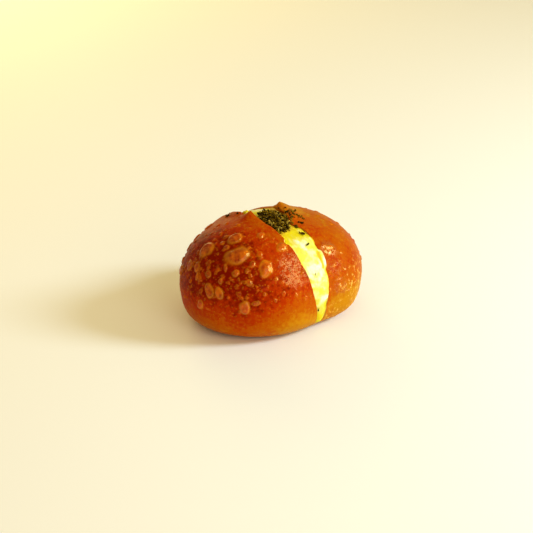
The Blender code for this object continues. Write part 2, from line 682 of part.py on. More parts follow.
# ---------------------------------------------------------------- model
clear_scene()
model = new_collection("egg_salad_bun")
cutters = new_collection("cutters")
build_bun(model, cutters)
build_egg(model, cutters)
build_parsley(model)
origin = bpy.data.objects.new("bun_origin", None)
origin.location = (-PLAN_MIDDLE[0], -PLAN_MIDDLE[1], 0.0)
model.objects.link(origin)
for piece in list(model.objects) + list(cutters.objects):
    if piece is not origin:
        piece.parent = origin
for cutter in cutters.objects:
    cutter.hide_render = True
    cutter.display_type = "WIRE"
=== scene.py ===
"""Looks of the egg salad bun: glazed crust with blisters, egg salad in the cut, dried parsley.

Lengths are in millimetres, and become metres where a mesh is made. The form's own axes have the
middle of the cut at X = Y = 0; PLAN_MIDDLE takes them to the frame's origin.
"""
import itertools
import math

import bpy
import numpy as np
from bpy.props import FloatProperty, FloatVectorProperty, IntProperty, PointerProperty
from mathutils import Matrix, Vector


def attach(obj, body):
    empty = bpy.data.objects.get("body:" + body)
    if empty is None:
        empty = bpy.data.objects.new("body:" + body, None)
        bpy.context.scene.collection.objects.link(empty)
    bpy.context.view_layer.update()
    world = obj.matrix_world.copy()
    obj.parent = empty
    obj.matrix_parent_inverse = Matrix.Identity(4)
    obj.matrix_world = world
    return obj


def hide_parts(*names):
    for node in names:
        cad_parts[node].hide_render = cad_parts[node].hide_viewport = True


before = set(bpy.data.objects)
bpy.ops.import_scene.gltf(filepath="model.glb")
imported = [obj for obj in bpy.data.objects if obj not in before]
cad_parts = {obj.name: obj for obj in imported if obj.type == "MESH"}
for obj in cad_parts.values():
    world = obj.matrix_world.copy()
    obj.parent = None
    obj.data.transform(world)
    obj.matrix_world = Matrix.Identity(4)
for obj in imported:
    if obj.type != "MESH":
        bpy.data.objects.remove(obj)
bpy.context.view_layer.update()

bl_info = {
    "name": "Egg Salad Bun",
    "version": (1, 0, 0),
    "blender": (4, 5, 0),
    "location": "View3D > Sidebar > Bun",
    "description": "Dresses an egg salad bun with crust, filling and dried parsley",
    "category": "Object",
}

MM = 0.001
LEFT = -1
RIGHT = 1

# ---- The bread's form, as in the part's source ----
HALF_WIDTH = {LEFT: 44.8, RIGHT: 51.0}
HALF_LENGTH = {LEFT: 38.6, RIGHT: 44.8}
LENGTH_SHIFT = {LEFT: -1.2, RIGHT: 0.8}
HEIGHT = {LEFT: 54.9, RIGHT: 50.6}
CUT_HALF_LENGTH = 39.2
BELLY_HEIGHT = 17.0
UNDERSIDE_DEPTH = 1.10 * BELLY_HEIGHT
PLAN_ROUNDNESS = 2.02
UPPER_ROUNDNESS = 1.92
LOWER_ROUNDNESS = 3.7
LIP_BLEND = 0.55
CUT_FLOOR = 4.0
CUT_HALF_GAP_LOW = 1.3
CUT_HALF_GAP_TOP = 10.5
CUT_TOP = 55.0
WALL_SHAVE = 0.3
LIP_LIFT = 0.9
LIP_LIFT_WIDTH = 5.0
CURL_LIFT = 0.9
CURL_TOP_LIFT = 1.6
CURL_PLACE = -4.0
CURL_LENGTH = 9.0
CURL_WIDTH = 9.0
TIP_LIFT = 3.3
TIP_PLACE = (1.8, 1.6)
TIP_NEAR = (1.7, 6.0)
TIP_FAR = (10.5, 2.8)
# (along, length, reach, evenness) of each part of the right lip's overhang
OVERHANGS = ((-8.0, 10.0, 3.2, 4.0), (-14.6, 4.0, 3.6, 2.0), (-24.0, 5.0, 1.0, 4.0))
OVERHANG_FADE = 4.5
NOTCH_PLACE = (-9.3, -23.6, 47.6)
NOTCH_RADII = (1.3, 1.7, 2.2)
PLAN_MIDDLE = (2.81, 0.83)

# (side, turn, rise, long radius, short radius, slant, height)
MAIN_BLISTERS = (
    (LEFT, -16, 62, 4.6, 3.2, 60, 1.0),
    (LEFT, -26, 47, 5.6, 4.9, 36, 1.1),
    (LEFT, 10, 47, 4.5, 3.8, 80, 0.9),
    (LEFT, -52, 37, 4.6, 3.3, 66, 1.0),
    (LEFT, -8, 18, 4.3, 2.6, 116, 0.8),
    (LEFT, -16, 17, 3.2, 2.45, 117, 0.7),
    (LEFT, -33, 7, 3.6, 2.8, 94, 0.8),
    (LEFT, -78, 50, 3.1, 2.3, 6, 0.7),
    (LEFT, -12, 53, 1.7, 1.4, 162, 0.5),
    (LEFT, -56, 65, 2.1, 1.8, 42, 0.6),
    (LEFT, 18, 29, 2.7, 2.5, 130, 0.7),
    (LEFT, 9, 32, 2.8, 2.0, 113, 0.7),
    (LEFT, -5, 30, 2.2, 1.8, 110, 0.6),
    (LEFT, -27, 34, 1.9, 1.6, 24, 0.5),
    (LEFT, -16, 27, 1.6, 1.1, 89, 0.5),
    (LEFT, -41, 41, 1.9, 1.3, 58, 0.6),
    (LEFT, -37, 27, 1.9, 1.5, 99, 0.5),
    (LEFT, -1, 4, 3.3, 2.2, 60, 0.5),
    (LEFT, -41, 11, 2.2, 1.1, 8, 0.4),
    (LEFT, 31, 19, 3.6, 2.8, 90, 0.9),
    (RIGHT, -78, 40, 3.0, 1.8, 10, 0.5),
)
# Smaller blisters, listed in the same way, that only the looks hold
SMALL_BLISTERS = (
    (LEFT, -37, 54, 1.3, 0.9, 44, 0.4),
    (LEFT, 5, 25, 1.8, 1.1, 99, 0.5),
    (LEFT, -18, 37, 2.0, 0.9, 103, 0.5),
    (LEFT, -36, 36, 1.5, 0.9, 70, 0.5),
    (LEFT, -4, 56, 1.3, 1.1, 43, 0.4),
    (RIGHT, -80, 26, 1.0, 0.8, 30, 0.4),
    (RIGHT, -78, 7, 1.2, 0.9, 80, 0.45),
    (RIGHT, -71, 1, 1.0, 0.8, 120, 0.4),
    (RIGHT, -72, 20, 0.9, 0.7, 50, 0.35),
    (RIGHT, -64, 7, 1.3, 0.9, 90, 0.45),
    (RIGHT, -67, -18, 1.4, 0.8, 20, 0.4),
    (RIGHT, -73, -40, 1.6, 0.8, 10, 0.35),
    (RIGHT, -85, -40, 1.4, 0.7, 0, 0.35),
    (LEFT, -62, 61, 1.0, 0.6, 20, 0.35),
    (LEFT, -74, 59, 0.9, 0.6, 0, 0.3),
    (LEFT, -59, 28, 1.0, 0.8, 60, 0.35),
    (LEFT, -73, 13, 1.1, 0.8, 90, 0.35),
    (LEFT, -48, 18, 1.1, 0.8, 90, 0.35),
    (LEFT, -55, 12, 1.0, 0.8, 90, 0.35),
    (RIGHT, -68, 34, 1.0, 0.8, 45, 0.35),
    (RIGHT, -88, 7, 1.0, 0.7, 45, 0.35),
)
BACK_BLISTERS = 8
BACK_TURNS = (40, 75)
BACK_RISES = (5, 60)
BACK_RADII = (1.8, 3.6)
BACK_WIDTH_SHARE = 0.8
BACK_RIGHT_EVERY = 3
BLISTER_STEEPNESS = 0.25
BLISTER_SEED = 24

# ---- Egg salad and parsley, as in the part's source ----
EGG_TOP = {LEFT: 53.2, RIGHT: 51.8}
EGG_RECESS = {LEFT: 0.9, RIGHT: 0.3}
EGG_BULGE = 1.0
EGG_CENTRE = 20.0
TOUCH_GAP = 0.3
HEAP_CENTRE = (-2.6, -8.4)
HEAP_RADII = (7.6, 9.2)
HEAP_TURN = -27.0
HEAP_WALL = 8.9
HEAP_WALL_MARGIN = 2.0
HEAP_WAVES = ((3, 0.04, 0.6), (5, 0.03, 2.0))
HEAP_BACK_LIFT = 0.9

# ---- Finer relief that only the looks hold ----
# Rings and columns of points, and the distance and height of a place inside each half
CRUST_ROWS = {LEFT: 152, RIGHT: 92}
CRUST_TOP_COLUMNS = 252
CRUST_BASE_COLUMNS = 88
HALF_INSIDE = (15.0, 20.0)
WALL_DEPTHS = (0.2, 0.45, 0.75, 1.1, 1.6, 2.3, 3.4, 5.0, 8.0)
FLOOR_ROWS = 3
FLOOR_HALF_LENGTH = 36.0
# Size, seed and share of each layer of soft noise
CRUST_NOISE = ((11.0, 3, 1.0), (5.0, 4, 0.5), (2.2, 5, 0.16), (1.2, 6, 0.096))
LIP_NOISE = ((3.5, 11, 0.40), (1.5, 13, 0.20))
WALL_NOISE = ((1.6, 21, 0.22), (0.8, 22, 0.15))
PASTE_NOISE = ((4.2, 51, 1.0), (2.2, 52, 0.5), (1.0, 53, 0.2))
# Lumps: reaches at which their cover starts and is full, reach and width of their rim, and share
# of soft noise on top
LUMP_COVER = (1.04, 0.82)
LUMP_RIM = (0.84, 0.17)
LUMP_NOISE = 0.16
# Unevenness of the outline and share of the look, of the listed and of the fine blisters
BLISTER_WAVER = (0.26, 0.45)
BLISTER_SHARE = (1.0, 0.6)
BLISTER_FLANK = 0.42
# Places in MAIN_BLISTERS of the rounder blisters
ROUND_BLISTERS = (3,)
ROUND_FLANK = 0.75
# Fine blisters: middle, spread, least and most of turn and rise, and ranges of the other draws
FINE_LEFT_SHARE = 0.66
FINE_TURN = (-8.0, 38.0, -86.0, 86.0)
FINE_RISE = (34.0, 20.0, 2.0, 80.0)
FINE_RADII = (0.45, 0.95)
FINE_LARGER = 0.9
FINE_WIDTHS = (0.55, 1.0)
FINE_STEEPNESS = (0.25, 0.42)
# Distances over which what happens at a lip fades on the crust
LIP_FADE = 1.5
TEAR_FADE = 1.7
TEAR_PLACE = 2.8
TEAR_HALF_LENGTH = 1.7
TEAR_DEPTH = 1.0
TEAR_HEIGHTS = (44.0, 50.0)
# (along, length, lift, evenness) of the left lip's small rises
LIP_RISES = ((-0.7, 3.0, 2.4, 1.5), (10.5, 4.6, 0.7, 6.0))
LIP_RISE_WIDTH = 4.5
# Depth, place and half length of the crust that goes on down the wall under the tip
TIP_CRUST = (2.6, -0.9, 4.0)
# (across, along), radius and lift of a stub of egg that stands up behind the left lip's tear
STUB_PLACE = (-9.9, 4.8)
STUB_RADIUS = 2.1
STUB_LIFT = 3.5
# (along, height), reach and depth of the flap at the right lip, where egg covers the edge
FLAP_PLACE = (-32.4, 35.5)
FLAP_REACH = 4.6
FLAP_DEPTH = 0.8
# (across, along, height), half length, half width and lift of folds in the right crust
FOLDS = (
    ((12.4, -29.0, 40.4), 2.4, 1.6, 0.70),
    ((16.4, -30.8, 38.6), 2.8, 1.9, 0.85),
)
EGG_ROWS = 72
EGG_TOP_COLUMNS = 500
EGG_BASE_COLUMNS = 60
EGG_TOP_END = 194.0
EGG_WALL_RINGS = (0.97, 0.9, 0.75, 0.5, 0.25)
EGG_SPREAD = 0.65
EGG_LOWERED = 0.2
# Least and extra radius, width share and height of the chopped pieces
PIECE_RADIUS = (1.6, 2.0)
PIECE_WIDTHS = (0.55, 0.9)
PIECE_HEIGHTS = (0.10, 0.32)
PIECE_FLANK = 0.6
PIECE_WAVER = 0.30
PIECE_SEED = 41
# (turn, rise, length) of the flakes that stand out on the right crust, and of a few on the left
RIGHT_FLAKES = (
    (-65, 79, 2.6), (-58, 78, 1.9), (-66, 74, 2.2), (-64, 72, 1.7), (-64, 70, 1.5), (-77, 67, 2.3),
    (-84, 73, 2.0), (-85, 79, 2.2), (-78, 79, 1.5), (-90, 86, 1.2), (-90, 64, 1.8), (-82, 76, 1.7),
    (-72, 76, 1.9), (-87, 69, 1.6),
)
LEFT_FLAKES = ((73, 69, 2.3), (73, 77, 1.5), (77, 66, 0.9))
# (across, along), length, tone and way of each stem on the heap
STEMS = (
    ((-5.2, -4.6), 3.6, 1.3, (0.69, -0.72, 0.0)),
    ((0.5, -8.0), 2.4, 1.0, (0.9, 0.3, 0.0)),
    ((-4.0, -12.0), 2.0, 0.95, (0.2, 1.0, 0.0)),
    ((2.0, -5.0), 2.2, 0.9, (0.8, -0.2, 0.1)),
)
# (share across, angle), length and way of each dark speck on the egg
EGG_SPECKS = (
    ((0.44, 123), 3.4, (2.8, -1.9, -1.7)),
    ((0.21, 133), 2.2, (1.0, 0.2, 0.0)),
    ((-0.34, 156), 1.4, (0.3, 0.0, 1.0)),
    ((-0.80, 192), 1.8, (0.2, 0.0, 1.0)),
)
# A flake's stations and lines, ranges of its widths, curl along and across, and its other measures
FLAKE_GRID = (5, 3)
FLAKE_WIDTHS = (0.20, 0.72)
FLAKE_DRIFT = 0.16
FLAKE_CURL = (-0.2, 0.6)
FLAKE_CUP = (-0.4, 0.7)
FLAKE_TWIST = 0.9
FLAKE_HALF_THICKNESS = 0.07
# Ranges of the drawn flakes' lengths and tones, with the power of a tone's draw, and their lean
HEAP_FLAKES = ((1.1, 2.9), (0.0, 1.1), 2.4, 0.55)
LOOSE_FLAKES = ((0.6, 1.2), (0.0, 0.9), 1.6, 0.15)
FRINGE_FLAKES = ((0.7, 1.5), (0.1, 0.8), 1.0, 0.2)
# Where they lie: spread across and range along on the lip, and ranges across and round on the egg
LOOSE_PLACES = (1.8, (-17.0, -4.0))
FRINGE_PLACES = ((-0.4, 0.5), (112.0, 117.5))
FRINGE_COUNT = 16
CORE_RINGS = 16
CORE_COLUMNS = 96
CORE_REACH = (0.08, 0.86)
CORE_DOME = (0.1, 0.5)
CORE_TONE = 0.05
CORE_WAVES = ((9, 0.09, 1.0), (14, 0.06, 0.0))
LIP_UNDER_HEAP = 2.6
PARSLEY_SEED = 61

# ---- Where the crust is baked, pale and glossy, with painted light, sheen and glints ----
# A start, then terms of an amount and smooth steps, each over a field from low to high
BAKE = {
    LEFT: (0.34, (
        (0.59, ("height", 1.0, 34.0)),
        (-0.20, ("height", 1.0, 34.0), ("x", -42.0, -9.0)),
        (0.10, ("height", 2.0, 16.0), ("x", -18.0, -38.0)),
        (-0.22, ("z", 36.0, 54.0), ("x", -42.0, -9.0)),
    )),
    RIGHT: (0.61, (
        # Partly paler crust, partly painted rim light along the right outline
        (-0.37, ("height", 42.0, 10.0), ("outward", 0.84, 1.03)),
        # Painted sheen on the upper right shoulder
        (-0.26, ("height", 29.0, 41.0), ("x", 8.0, 26.0)),
    )),
}
BAKE_FRONT = (0.0, ((-0.55, ("height", 30.0, 2.0), ("x", -42.0, -3.0)),))
BAKE_FRONT_HILL = (-42.0, 18.0)
BAKE_NOISE = ((7.0, 32, 0.12),)
BELLY = (("height", 40.0, 20.0), ("outward", 0.90, 0.98), ("x", 48.0, 34.0))
# Low on the base the pale flecks are partly paler crust and partly painted glints
PALE_LOW_AND_GLINTS = (0.0, (
    (0.15, ("height", 17.0, 6.0)),
    (0.85, ("height", 17.0, 6.0), ("y", 0.0, -25.0)),
))
# On the belly the pale flecks are a painted highlight
PAINTED_BELLY_HIGHLIGHT = (0.0, ((0.10, *BELLY), (0.90, *BELLY, ("y", 0.0, -25.0))))
# The noise on the height that those steps go by
BAKE_HEIGHT_NOISE = ((14.0, 31, 3.0),)
PALE_HEIGHT_NOISE = ((9.0, 33, 2.0),)
# The right lip's tip, where the crust is made paler: painted light on its face
TIP_TOP = (11.3, 0.0, 54.0)
TIP_PAINTED_LIGHT_REACH = 14.0
TIP_PAINTED_LIGHT = 0.46
# Middle, reach and thickness of the patches where the glaze lies thick
GLAZE_PATCHES = (
    ((-14.5, -33.0, 35.8), 9.8, 0.26),
    ((14.8, -30.3, 39.4), 4.8, 1.0),
    ((12.6, -35.9, 31.1), 5.5, 0.08),
    ((13.5, -39.9, 20.5), 5.0, 0.5),
)
# Depth down the wall at which crust turns to crumb
CRUST_EDGE = 0.35

# ---- Steady values of each food's shader ----
CRUST_SHADER = {
    "Specular IOR Level": 0.025, "Specular Tint": (1.0, 0.42, 0.05, 1.0),
    "Coat Roughness": 0.12, "Coat IOR": 1.5,
    "Sheen Weight": 0.06, "Sheen Roughness": 0.30, "Sheen Tint": (1.0, 0.62, 0.20, 1.0),
}
EGG_SHADER = {
    "Roughness": 0.5, "Specular IOR Level": 0.08, "Coat Weight": 0.02, "Coat Roughness": 0.2,
    "Subsurface Weight": 0.35, "Subsurface Radius": (1.0, 0.8, 0.25),
    "Subsurface Scale": 2.5 * MM,
}
PARSLEY_SHADER = {"Roughness": 0.8, "Specular IOR Level": 0.03}

# ---- Camera, as the photograph was taken ----
CAMERA_AZIMUTH = -46.37
CAMERA_ELEVATION = 24.5
CAMERA_DISTANCE = 900.0
CAMERA_AIM = (0.5, 22.2)
FOCAL_PIXELS = 1725.0
PHOTO_PIXELS = 533.0
SENSOR_WIDTH = 36.0
FLOOR_HALF_WIDTH = 3.0
# Name, place in metres as the camera sees it, width, setting, colour, and the rays that pass it by
LIGHTS = (
    ("key_light", (0.80, -0.08, 0.50), 0.30, "key", (0.81, 0.93, 1.0), "visible_glossy"),
    ("window_light", (0.80, -0.16, 0.43), 0.75, "window", (1.0, 0.97, 0.32), "visible_diffuse"),
    ("front_light", (0.45, -0.85, 0.38), 0.70, "front", (1.0, 0.90, 0.72), None),
    ("back_light", (-0.35, 0.85, 0.30), 0.50, "back", (1.0, 0.80, 0.30), None),
)
LIGHT_AIM = (0.0, 0.0, 0.02)
SKY_COLOUR = (1.0, 0.75, 0.36, 1.0)


# ---- Settings ----
def colour(name, description, default):
    """A setting that is a colour."""
    return FloatVectorProperty(name=name, description=description, default=default,
                               size=3, subtype="COLOR", min=0.0, max=1.0)


def number(name, description, default, most):
    """A setting that is a whole number."""
    return IntProperty(name=name, description=description, default=default, min=0, max=most)


def watts(name, description, default):
    """A setting that is a light's strength."""
    return FloatProperty(name=name, description=description, default=default,
                         min=0.0, max=200.0, unit="POWER")


class CrustSettings(bpy.types.PropertyGroup):
    deep: colour("Deep crust", "Colour of the most baked crust", (0.175, 0.0055, 0.0001))
    russet: colour("Russet crust", "Colour of the well baked crust", (0.37, 0.026, 0.0002))
    orange: colour("Orange crust", "Colour of the evenly baked crust", (0.41, 0.075, 0.0003))
    golden: colour(
        "Golden crust", "Colour of the least baked crust near the base",
        (0.465, 0.188, 0.003))
    blister: colour("Blister", "Colour of the thin skin over a blister", (0.70, 0.165, 0.0006))
    # Pale flecks: partly paler crust, partly painted glints and a painted highlight on the right
    # belly
    pale: colour(
        "Pale fleck", "Colour of the pale flecks along the right base",
        (0.86, 0.56, 0.10))
    crumb: colour("Crumb", "Colour of the bread inside the cut", (0.93, 0.74, 0.20))
    wrinkle: FloatProperty(
        name="Unevenness", description="Height of the crust's broad unevenness, in millimetres",
        default=0.16, min=0.0, max=1.0)
    fine_blisters: number("Fine blisters", "Number of small blisters on the crust", 310, 600)


class EggSettings(bpy.types.PropertyGroup):
    yolk: colour("Yolk", "Colour of the mashed yolk and dressing", (0.66, 0.63, 0.06))
    # The edge colour is partly deeper yolk and partly painted shade in the creases by the bread
    edge: colour(
        "Edge", "Colour of the thick yolk beside the bread and under the heap",
        (0.63, 0.53, 0.003))
    # The ochre colour is partly the stub's and low end's colour, mostly painted shade in gaps,
    # under the heap's edge and under the right lip
    ochre: colour(
        "Ochre", "Colour of the yolk in narrow gaps and under the heap's edge",
        (0.62, 0.40, 0.012))
    white: colour("Egg white", "Colour of the chopped egg white", (0.82, 0.84, 0.58))
    pieces: number("Pieces", "Number of chopped pieces that show", 46, 500)
    paste: FloatProperty(
        name="Paste relief", description="Height of the paste's lumps, in millimetres",
        default=0.18, min=0.0, max=1.0)


class ParsleySettings(bpy.types.PropertyGroup):
    dark: colour("Dark leaf", "Colour of the darkest flakes", (0.018, 0.008, 0.0004))
    olive: colour("Olive leaf", "Colour of the common flakes", (0.215, 0.118, 0.0015))
    straw: colour("Stem", "Colour of the pale stems", (0.62, 0.46, 0.08))
    flakes: number("Flakes", "Number of flakes on the heap", 400, 2000)
    loose: number("Loose flakes", "Number of small loose flakes on the right crust", 16, 200)


class StageSettings(bpy.types.PropertyGroup):
    floor: colour("Floor", "Colour of the plain floor", (0.90, 0.94, 0.95))
    key: watts("Key light", "Strength of the large soft light on the right, in watts", 7.5)
    window: watts("Window light", "Strength of the warm light that only shows in gloss", 36.0)
    front: watts("Front light", "Strength of the wide weak light in front, in watts", 3.3)
    back: watts("Back light", "Strength of the soft light behind on the left, in watts", 2.2)
    fill: FloatProperty(
        name="Surroundings", description="Strength of the light from all round",
        default=0.60, min=0.0, max=5.0)


# ---- Numpy helpers ----
def smooth_step(low, high, value):
    """0 at low, 1 at high, and between them 3 t squared minus 2 t cubed of the share t."""
    share = np.clip((value - low) / (high - low), 0.0, 1.0)
    return share * share * (3.0 - 2.0 * share)


def bump(value, place, width, power=2.0):
    """A hill of height 1 at the place: exp of minus the distance over the width, to a power."""
    return np.exp(-np.abs((value - place) / width) ** power)


def unit(vectors):
    """Vectors over their lengths."""
    return vectors / np.maximum(np.linalg.norm(vectors, axis=-1, keepdims=True), 1e-9)


def lattice_draw(cells, seed):
    """A number from 0 to 1 for each whole-number cell: its three indices are mixed as bits."""
    mixed = cells.astype(np.int64)
    mixed = mixed[..., 0] * 73856093 ^ mixed[..., 1] * 19349663 ^ mixed[..., 2] * 83492791
    mixed = (mixed ^ (seed * 2654435761)) & 0xFFFFFFFF
    mixed = ((mixed ^ (mixed >> 13)) * 1274126177) & 0xFFFFFFFF
    mixed = ((mixed ^ (mixed >> 16)) * 2246822519) & 0xFFFFFFFF
    return (mixed ^ (mixed >> 15)) / 0xFFFFFFFF


def soft_noise(points, size, seed):
    """Smooth noise from -1 to 1: draws at a cube's eight corners, blended by smooth weights."""
    places = points / size
    base = np.floor(places)
    inside = places - base
    inside = inside * inside * (3.0 - 2.0 * inside)
    total = np.zeros(points.shape[:-1])
    for corner in itertools.product((0, 1), repeat=3):
        weight = np.prod(np.where(corner, inside, 1.0 - inside), axis=-1)
        total += weight * (2.0 * lattice_draw(base + corner, seed) - 1.0)
    return total


def layered_noise(points, layers, shift=0):
    """The sum of layers of soft noise, each with a size, a seed and a share."""
    return sum(share * soft_noise(points, size, seed + shift) for size, seed, share in layers)


def grid_normals(points):
    """Unit normals of rings of points: the cross product of the steps along and round."""
    along = np.gradient(points, axis=0)
    around = np.roll(points, -1, axis=1) - np.roll(points, 1, axis=1)
    return unit(np.cross(around, along))


# ---- Mesh helpers ----
def new_mesh_object(name, points, loops, loop_counts, attributes):
    """A smooth mesh from vertex places in millimetres, and faces as one list of corners."""
    mesh = bpy.data.meshes.new(name)
    places = (points.reshape(-1, 3) - (*PLAN_MIDDLE, 0.0)) * MM
    counts = loop_counts.astype(np.int32)
    starts = (np.cumsum(counts) - counts).astype(np.int32)
    mesh.vertices.add(len(places))
    mesh.vertices.foreach_set("co", places.astype(np.float32).ravel())
    mesh.loops.add(len(loops))
    mesh.loops.foreach_set("vertex_index", loops.astype(np.int32))
    mesh.polygons.add(len(counts))
    mesh.polygons.foreach_set("loop_start", starts)
    mesh.polygons.foreach_set("loop_total", counts)
    mesh.polygons.foreach_set("use_smooth", np.ones(len(counts), dtype=bool))
    for key, values in attributes.items():
        layer = mesh.attributes.new(key, "FLOAT", "POINT")
        layer.data.foreach_set("value", np.asarray(values, dtype=np.float32).ravel())
    mesh.update(calc_edges=True)
    if mesh.validate():
        raise RuntimeError(f"the mesh of {name} had faults")
    made = bpy.data.objects.new(name, mesh)
    bpy.context.scene.collection.objects.link(made)
    return made


def ring_faces(rings, columns):
    """Corners of a closed surface of rings between two poles, which are the last vertices."""
    here = np.arange(rings * columns).reshape(rings, columns)
    beside = np.roll(here, -1, axis=1)
    quads = np.stack([here[:-1], beside[:-1], beside[1:], here[1:]], axis=-1)
    pole = np.full(columns, rings * columns)
    start_cap = np.stack([pole, beside[0], here[0]], axis=-1)
    end_cap = np.stack([pole + 1, here[-1], beside[-1]], axis=-1)
    loops = np.concatenate([quads.ravel(), start_cap.ravel(), end_cap.ravel()])
    return loops, np.repeat([4, 3], [(rings - 1) * columns, 2 * columns])


def ring_object(name, points, poles, attributes):
    """A closed surface from rings of points and its two poles; attributes have the same grid,
    and each pole takes the mean of the ring beside it."""
    layers = {key: np.concatenate([values.ravel(), [values[0].mean(), values[-1].mean()]])
              for key, values in attributes.items()}
    places = np.concatenate([points.reshape(-1, 3), poles])
    return new_mesh_object(name, places, *ring_faces(*points.shape[:2]), layers)


def hand_over(piece, material, slot, *nodes):
    """Gives a piece its material, sets it on the root body, and hides the parts it stands in for.
    """
    piece.data.materials.append(material)
    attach(piece, "root")
    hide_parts(*nodes)


# ---- The bread's form ----
def half_gap(height):
    """Half the cut's width, which grows evenly with height."""
    return CUT_HALF_GAP_LOW + (CUT_HALF_GAP_TOP - CUT_HALF_GAP_LOW) * height / CUT_TOP


def past_wall(side, points):
    """How far points lie outwards of a wall of the cut, level with them."""
    return side * points[..., 0] - half_gap(points[..., 2])


def profile(side, rise, top=None):
    """The half bun's upright profile, two superellipses: plan share and height."""
    top = HEIGHT[side] if top is None else top
    angle = np.abs(np.radians(rise))
    upper_share = np.cos(angle) ** (2.0 / UPPER_ROUNDNESS)
    upper_height = BELLY_HEIGHT + (top - BELLY_HEIGHT) * np.sin(angle) ** (2.0 / UPPER_ROUNDNESS)
    stretch = np.cos(angle) ** LOWER_ROUNDNESS + np.sin(angle) ** LOWER_ROUNDNESS
    stretch = stretch ** (-1.0 / LOWER_ROUNDNESS)
    lower_share = stretch * np.cos(angle)
    lower_height = np.maximum(BELLY_HEIGHT - UNDERSIDE_DEPTH * stretch * np.sin(angle), 0.0)
    above = rise >= 0.0
    return np.where(above, upper_share, lower_share), np.where(above, upper_height, lower_height)


def lip_lift(side, across, along, height):
    """How far the crust curls up beside the cut; across is measured from the wall."""
    rising = (height - BELLY_HEIGHT) / (HEIGHT[side] - BELLY_HEIGHT)
    lift = LIP_LIFT * bump(across, 0.0, LIP_LIFT_WIDTH)
    if side == RIGHT:
        curl = CURL_LIFT + CURL_TOP_LIFT * bump(along, CURL_PLACE, CURL_LENGTH)
        lift = lift + curl * bump(across, 0.0, CURL_WIDTH)
        wide = np.where(across < TIP_PLACE[0], TIP_NEAR[0], TIP_FAR[0])
        long = np.where(along < TIP_PLACE[1], TIP_NEAR[1], TIP_FAR[1])
        tip = bump(across, TIP_PLACE[0], wide, 1.4) * bump(along, TIP_PLACE[1], long, 1.25)
        lift = lift + TIP_LIFT * tip
    else:
        for place, length, rise, evenness in LIP_RISES:
            rise = rise * bump(along, place, length, evenness)
            lift = lift + rise * bump(across, 0.0, LIP_RISE_WIDTH)
    return lift * smooth_step(0.30, 0.85, rising)


def overhang(along):
    """How far the right lip hangs over the filling, at places along the cut."""
    return sum(reach * bump(along, place, length, evenness)
               for place, length, reach, evenness in OVERHANGS)


def plan_sum(side, facing, sideways, half_length):
    """The sum in the plan's superellipse: each part over its half size, to a power."""
    wide = np.abs(facing / HALF_WIDTH[side]) ** PLAN_ROUNDNESS
    return wide + np.abs(sideways / half_length) ** PLAN_ROUNDNESS


def crust(side, turn, rise):
    """Points of a half bun's crust, a superellipsoid cut at its wall and moved off the cut."""
    share, height = profile(side, rise)
    facing = np.cos(np.radians(turn))
    sideways = np.sin(np.radians(turn))
    blend = smooth_step(0.0, LIP_BLEND, facing)
    half_length = CUT_HALF_LENGTH + (HALF_LENGTH[side] - CUT_HALF_LENGTH) * blend
    radius = plan_sum(side, facing, sideways, half_length) ** (-1.0 / PLAN_ROUNDNESS)
    across = share * radius * facing
    along = share * radius * sideways
    along = along + LENGTH_SHIFT[side] * blend * smooth_step(0.0, 0.3, share)
    height = height + lip_lift(side, across, along, height)
    if side == RIGHT:
        across = across - overhang(along) * np.exp(-across / OVERHANG_FADE)
    return np.stack([side * (across + half_gap(height)), along, height], axis=-1)


def crust_frames(side, turn, rise):
    """Places on the crust with unit directions of turn and rise there, and normals."""
    step = 0.5
    place = crust(side, turn, rise)
    round_way = unit(crust(side, turn + step, rise) - crust(side, turn - step, rise))
    up_way = crust(side, turn, rise + step) - crust(side, turn, rise - step)
    normal = unit(np.cross(round_way, up_way))
    flip = np.where(normal[..., :1] * side + normal[..., 2:] < 0.0, -1.0, 1.0)
    normal = normal * flip
    return place, round_way, unit(np.cross(normal, round_way)), normal


def over_plan(side, across, along):
    """The turn and rise of the crust over points of the plan, measured from the cut's wall."""
    turn = np.arctan2(along, across)
    total = plan_sum(side, np.cos(turn), np.sin(turn), CUT_HALF_LENGTH)
    share = np.hypot(across, along) * total ** (1.0 / PLAN_ROUNDNESS)
    return np.degrees(turn), np.degrees(np.arccos(share ** (UPPER_ROUNDNESS / 2.0)))


# ---- Lumps on a surface ----
def raise_lumps(points, places, frames, radii, heights, flanks, wavers, shares):
    """Height, cover and rim of low flat-topped lumps on a surface.

    For each lump, a point's place in the lump's own plane over its two radii gives a reach,
    which soft noise makes larger or smaller by the share waver, so that the outline is uneven.
    From reach 1 inwards the height rises over the share flank of the reach, half evenly and
    half as a smooth step, and the rim is a soft ring just inside reach 1. Where lumps overlap,
    the higher one counts. Cover and rim are at most the lump's own share.
    """
    flat = points.reshape(-1, 3)
    height, cover, rim = np.zeros((3, len(flat)))
    looks = [np.broadcast_to(values, len(places)) for values in (flanks, wavers, shares)]
    for place, frame_ways, (long_radius, short_radius), top, flank, waver, share in zip(
            places, frames, radii, heights, *looks):
        near = np.flatnonzero(np.abs(flat - place).max(axis=1) < 1.3 * long_radius + 1.0)
        away = flat[near] - place
        reach = np.hypot(away @ frame_ways[0] / long_radius, away @ frame_ways[1] / short_radius)
        reach = reach * (1.0 + waver * soft_noise(flat[near], 0.75 * short_radius + 0.5, 81))
        risen = np.clip((1.0 - reach) / flank, 0.0, 1.0)
        dome = 0.5 * risen + 0.5 * smooth_step(0.0, 1.0, risen)
        dome = dome * (1.0 + LUMP_NOISE * soft_noise(flat[near], 1.9, 82))
        height[near] = np.maximum(height[near], top * dome)
        cover[near] = np.maximum(cover[near], share * smooth_step(*LUMP_COVER, reach))
        rim[near] = np.maximum(rim[near], share * bump(reach, *LUMP_RIM))
    shape = points.shape[:-1]
    return height.reshape(shape), cover.reshape(shape), rim.reshape(shape)


def clipped_draw(draws, middle, spread, least, most):
    """A number drawn round a middle, and held between a least and a most."""
    return np.clip(draws.normal(middle, spread), least, most)


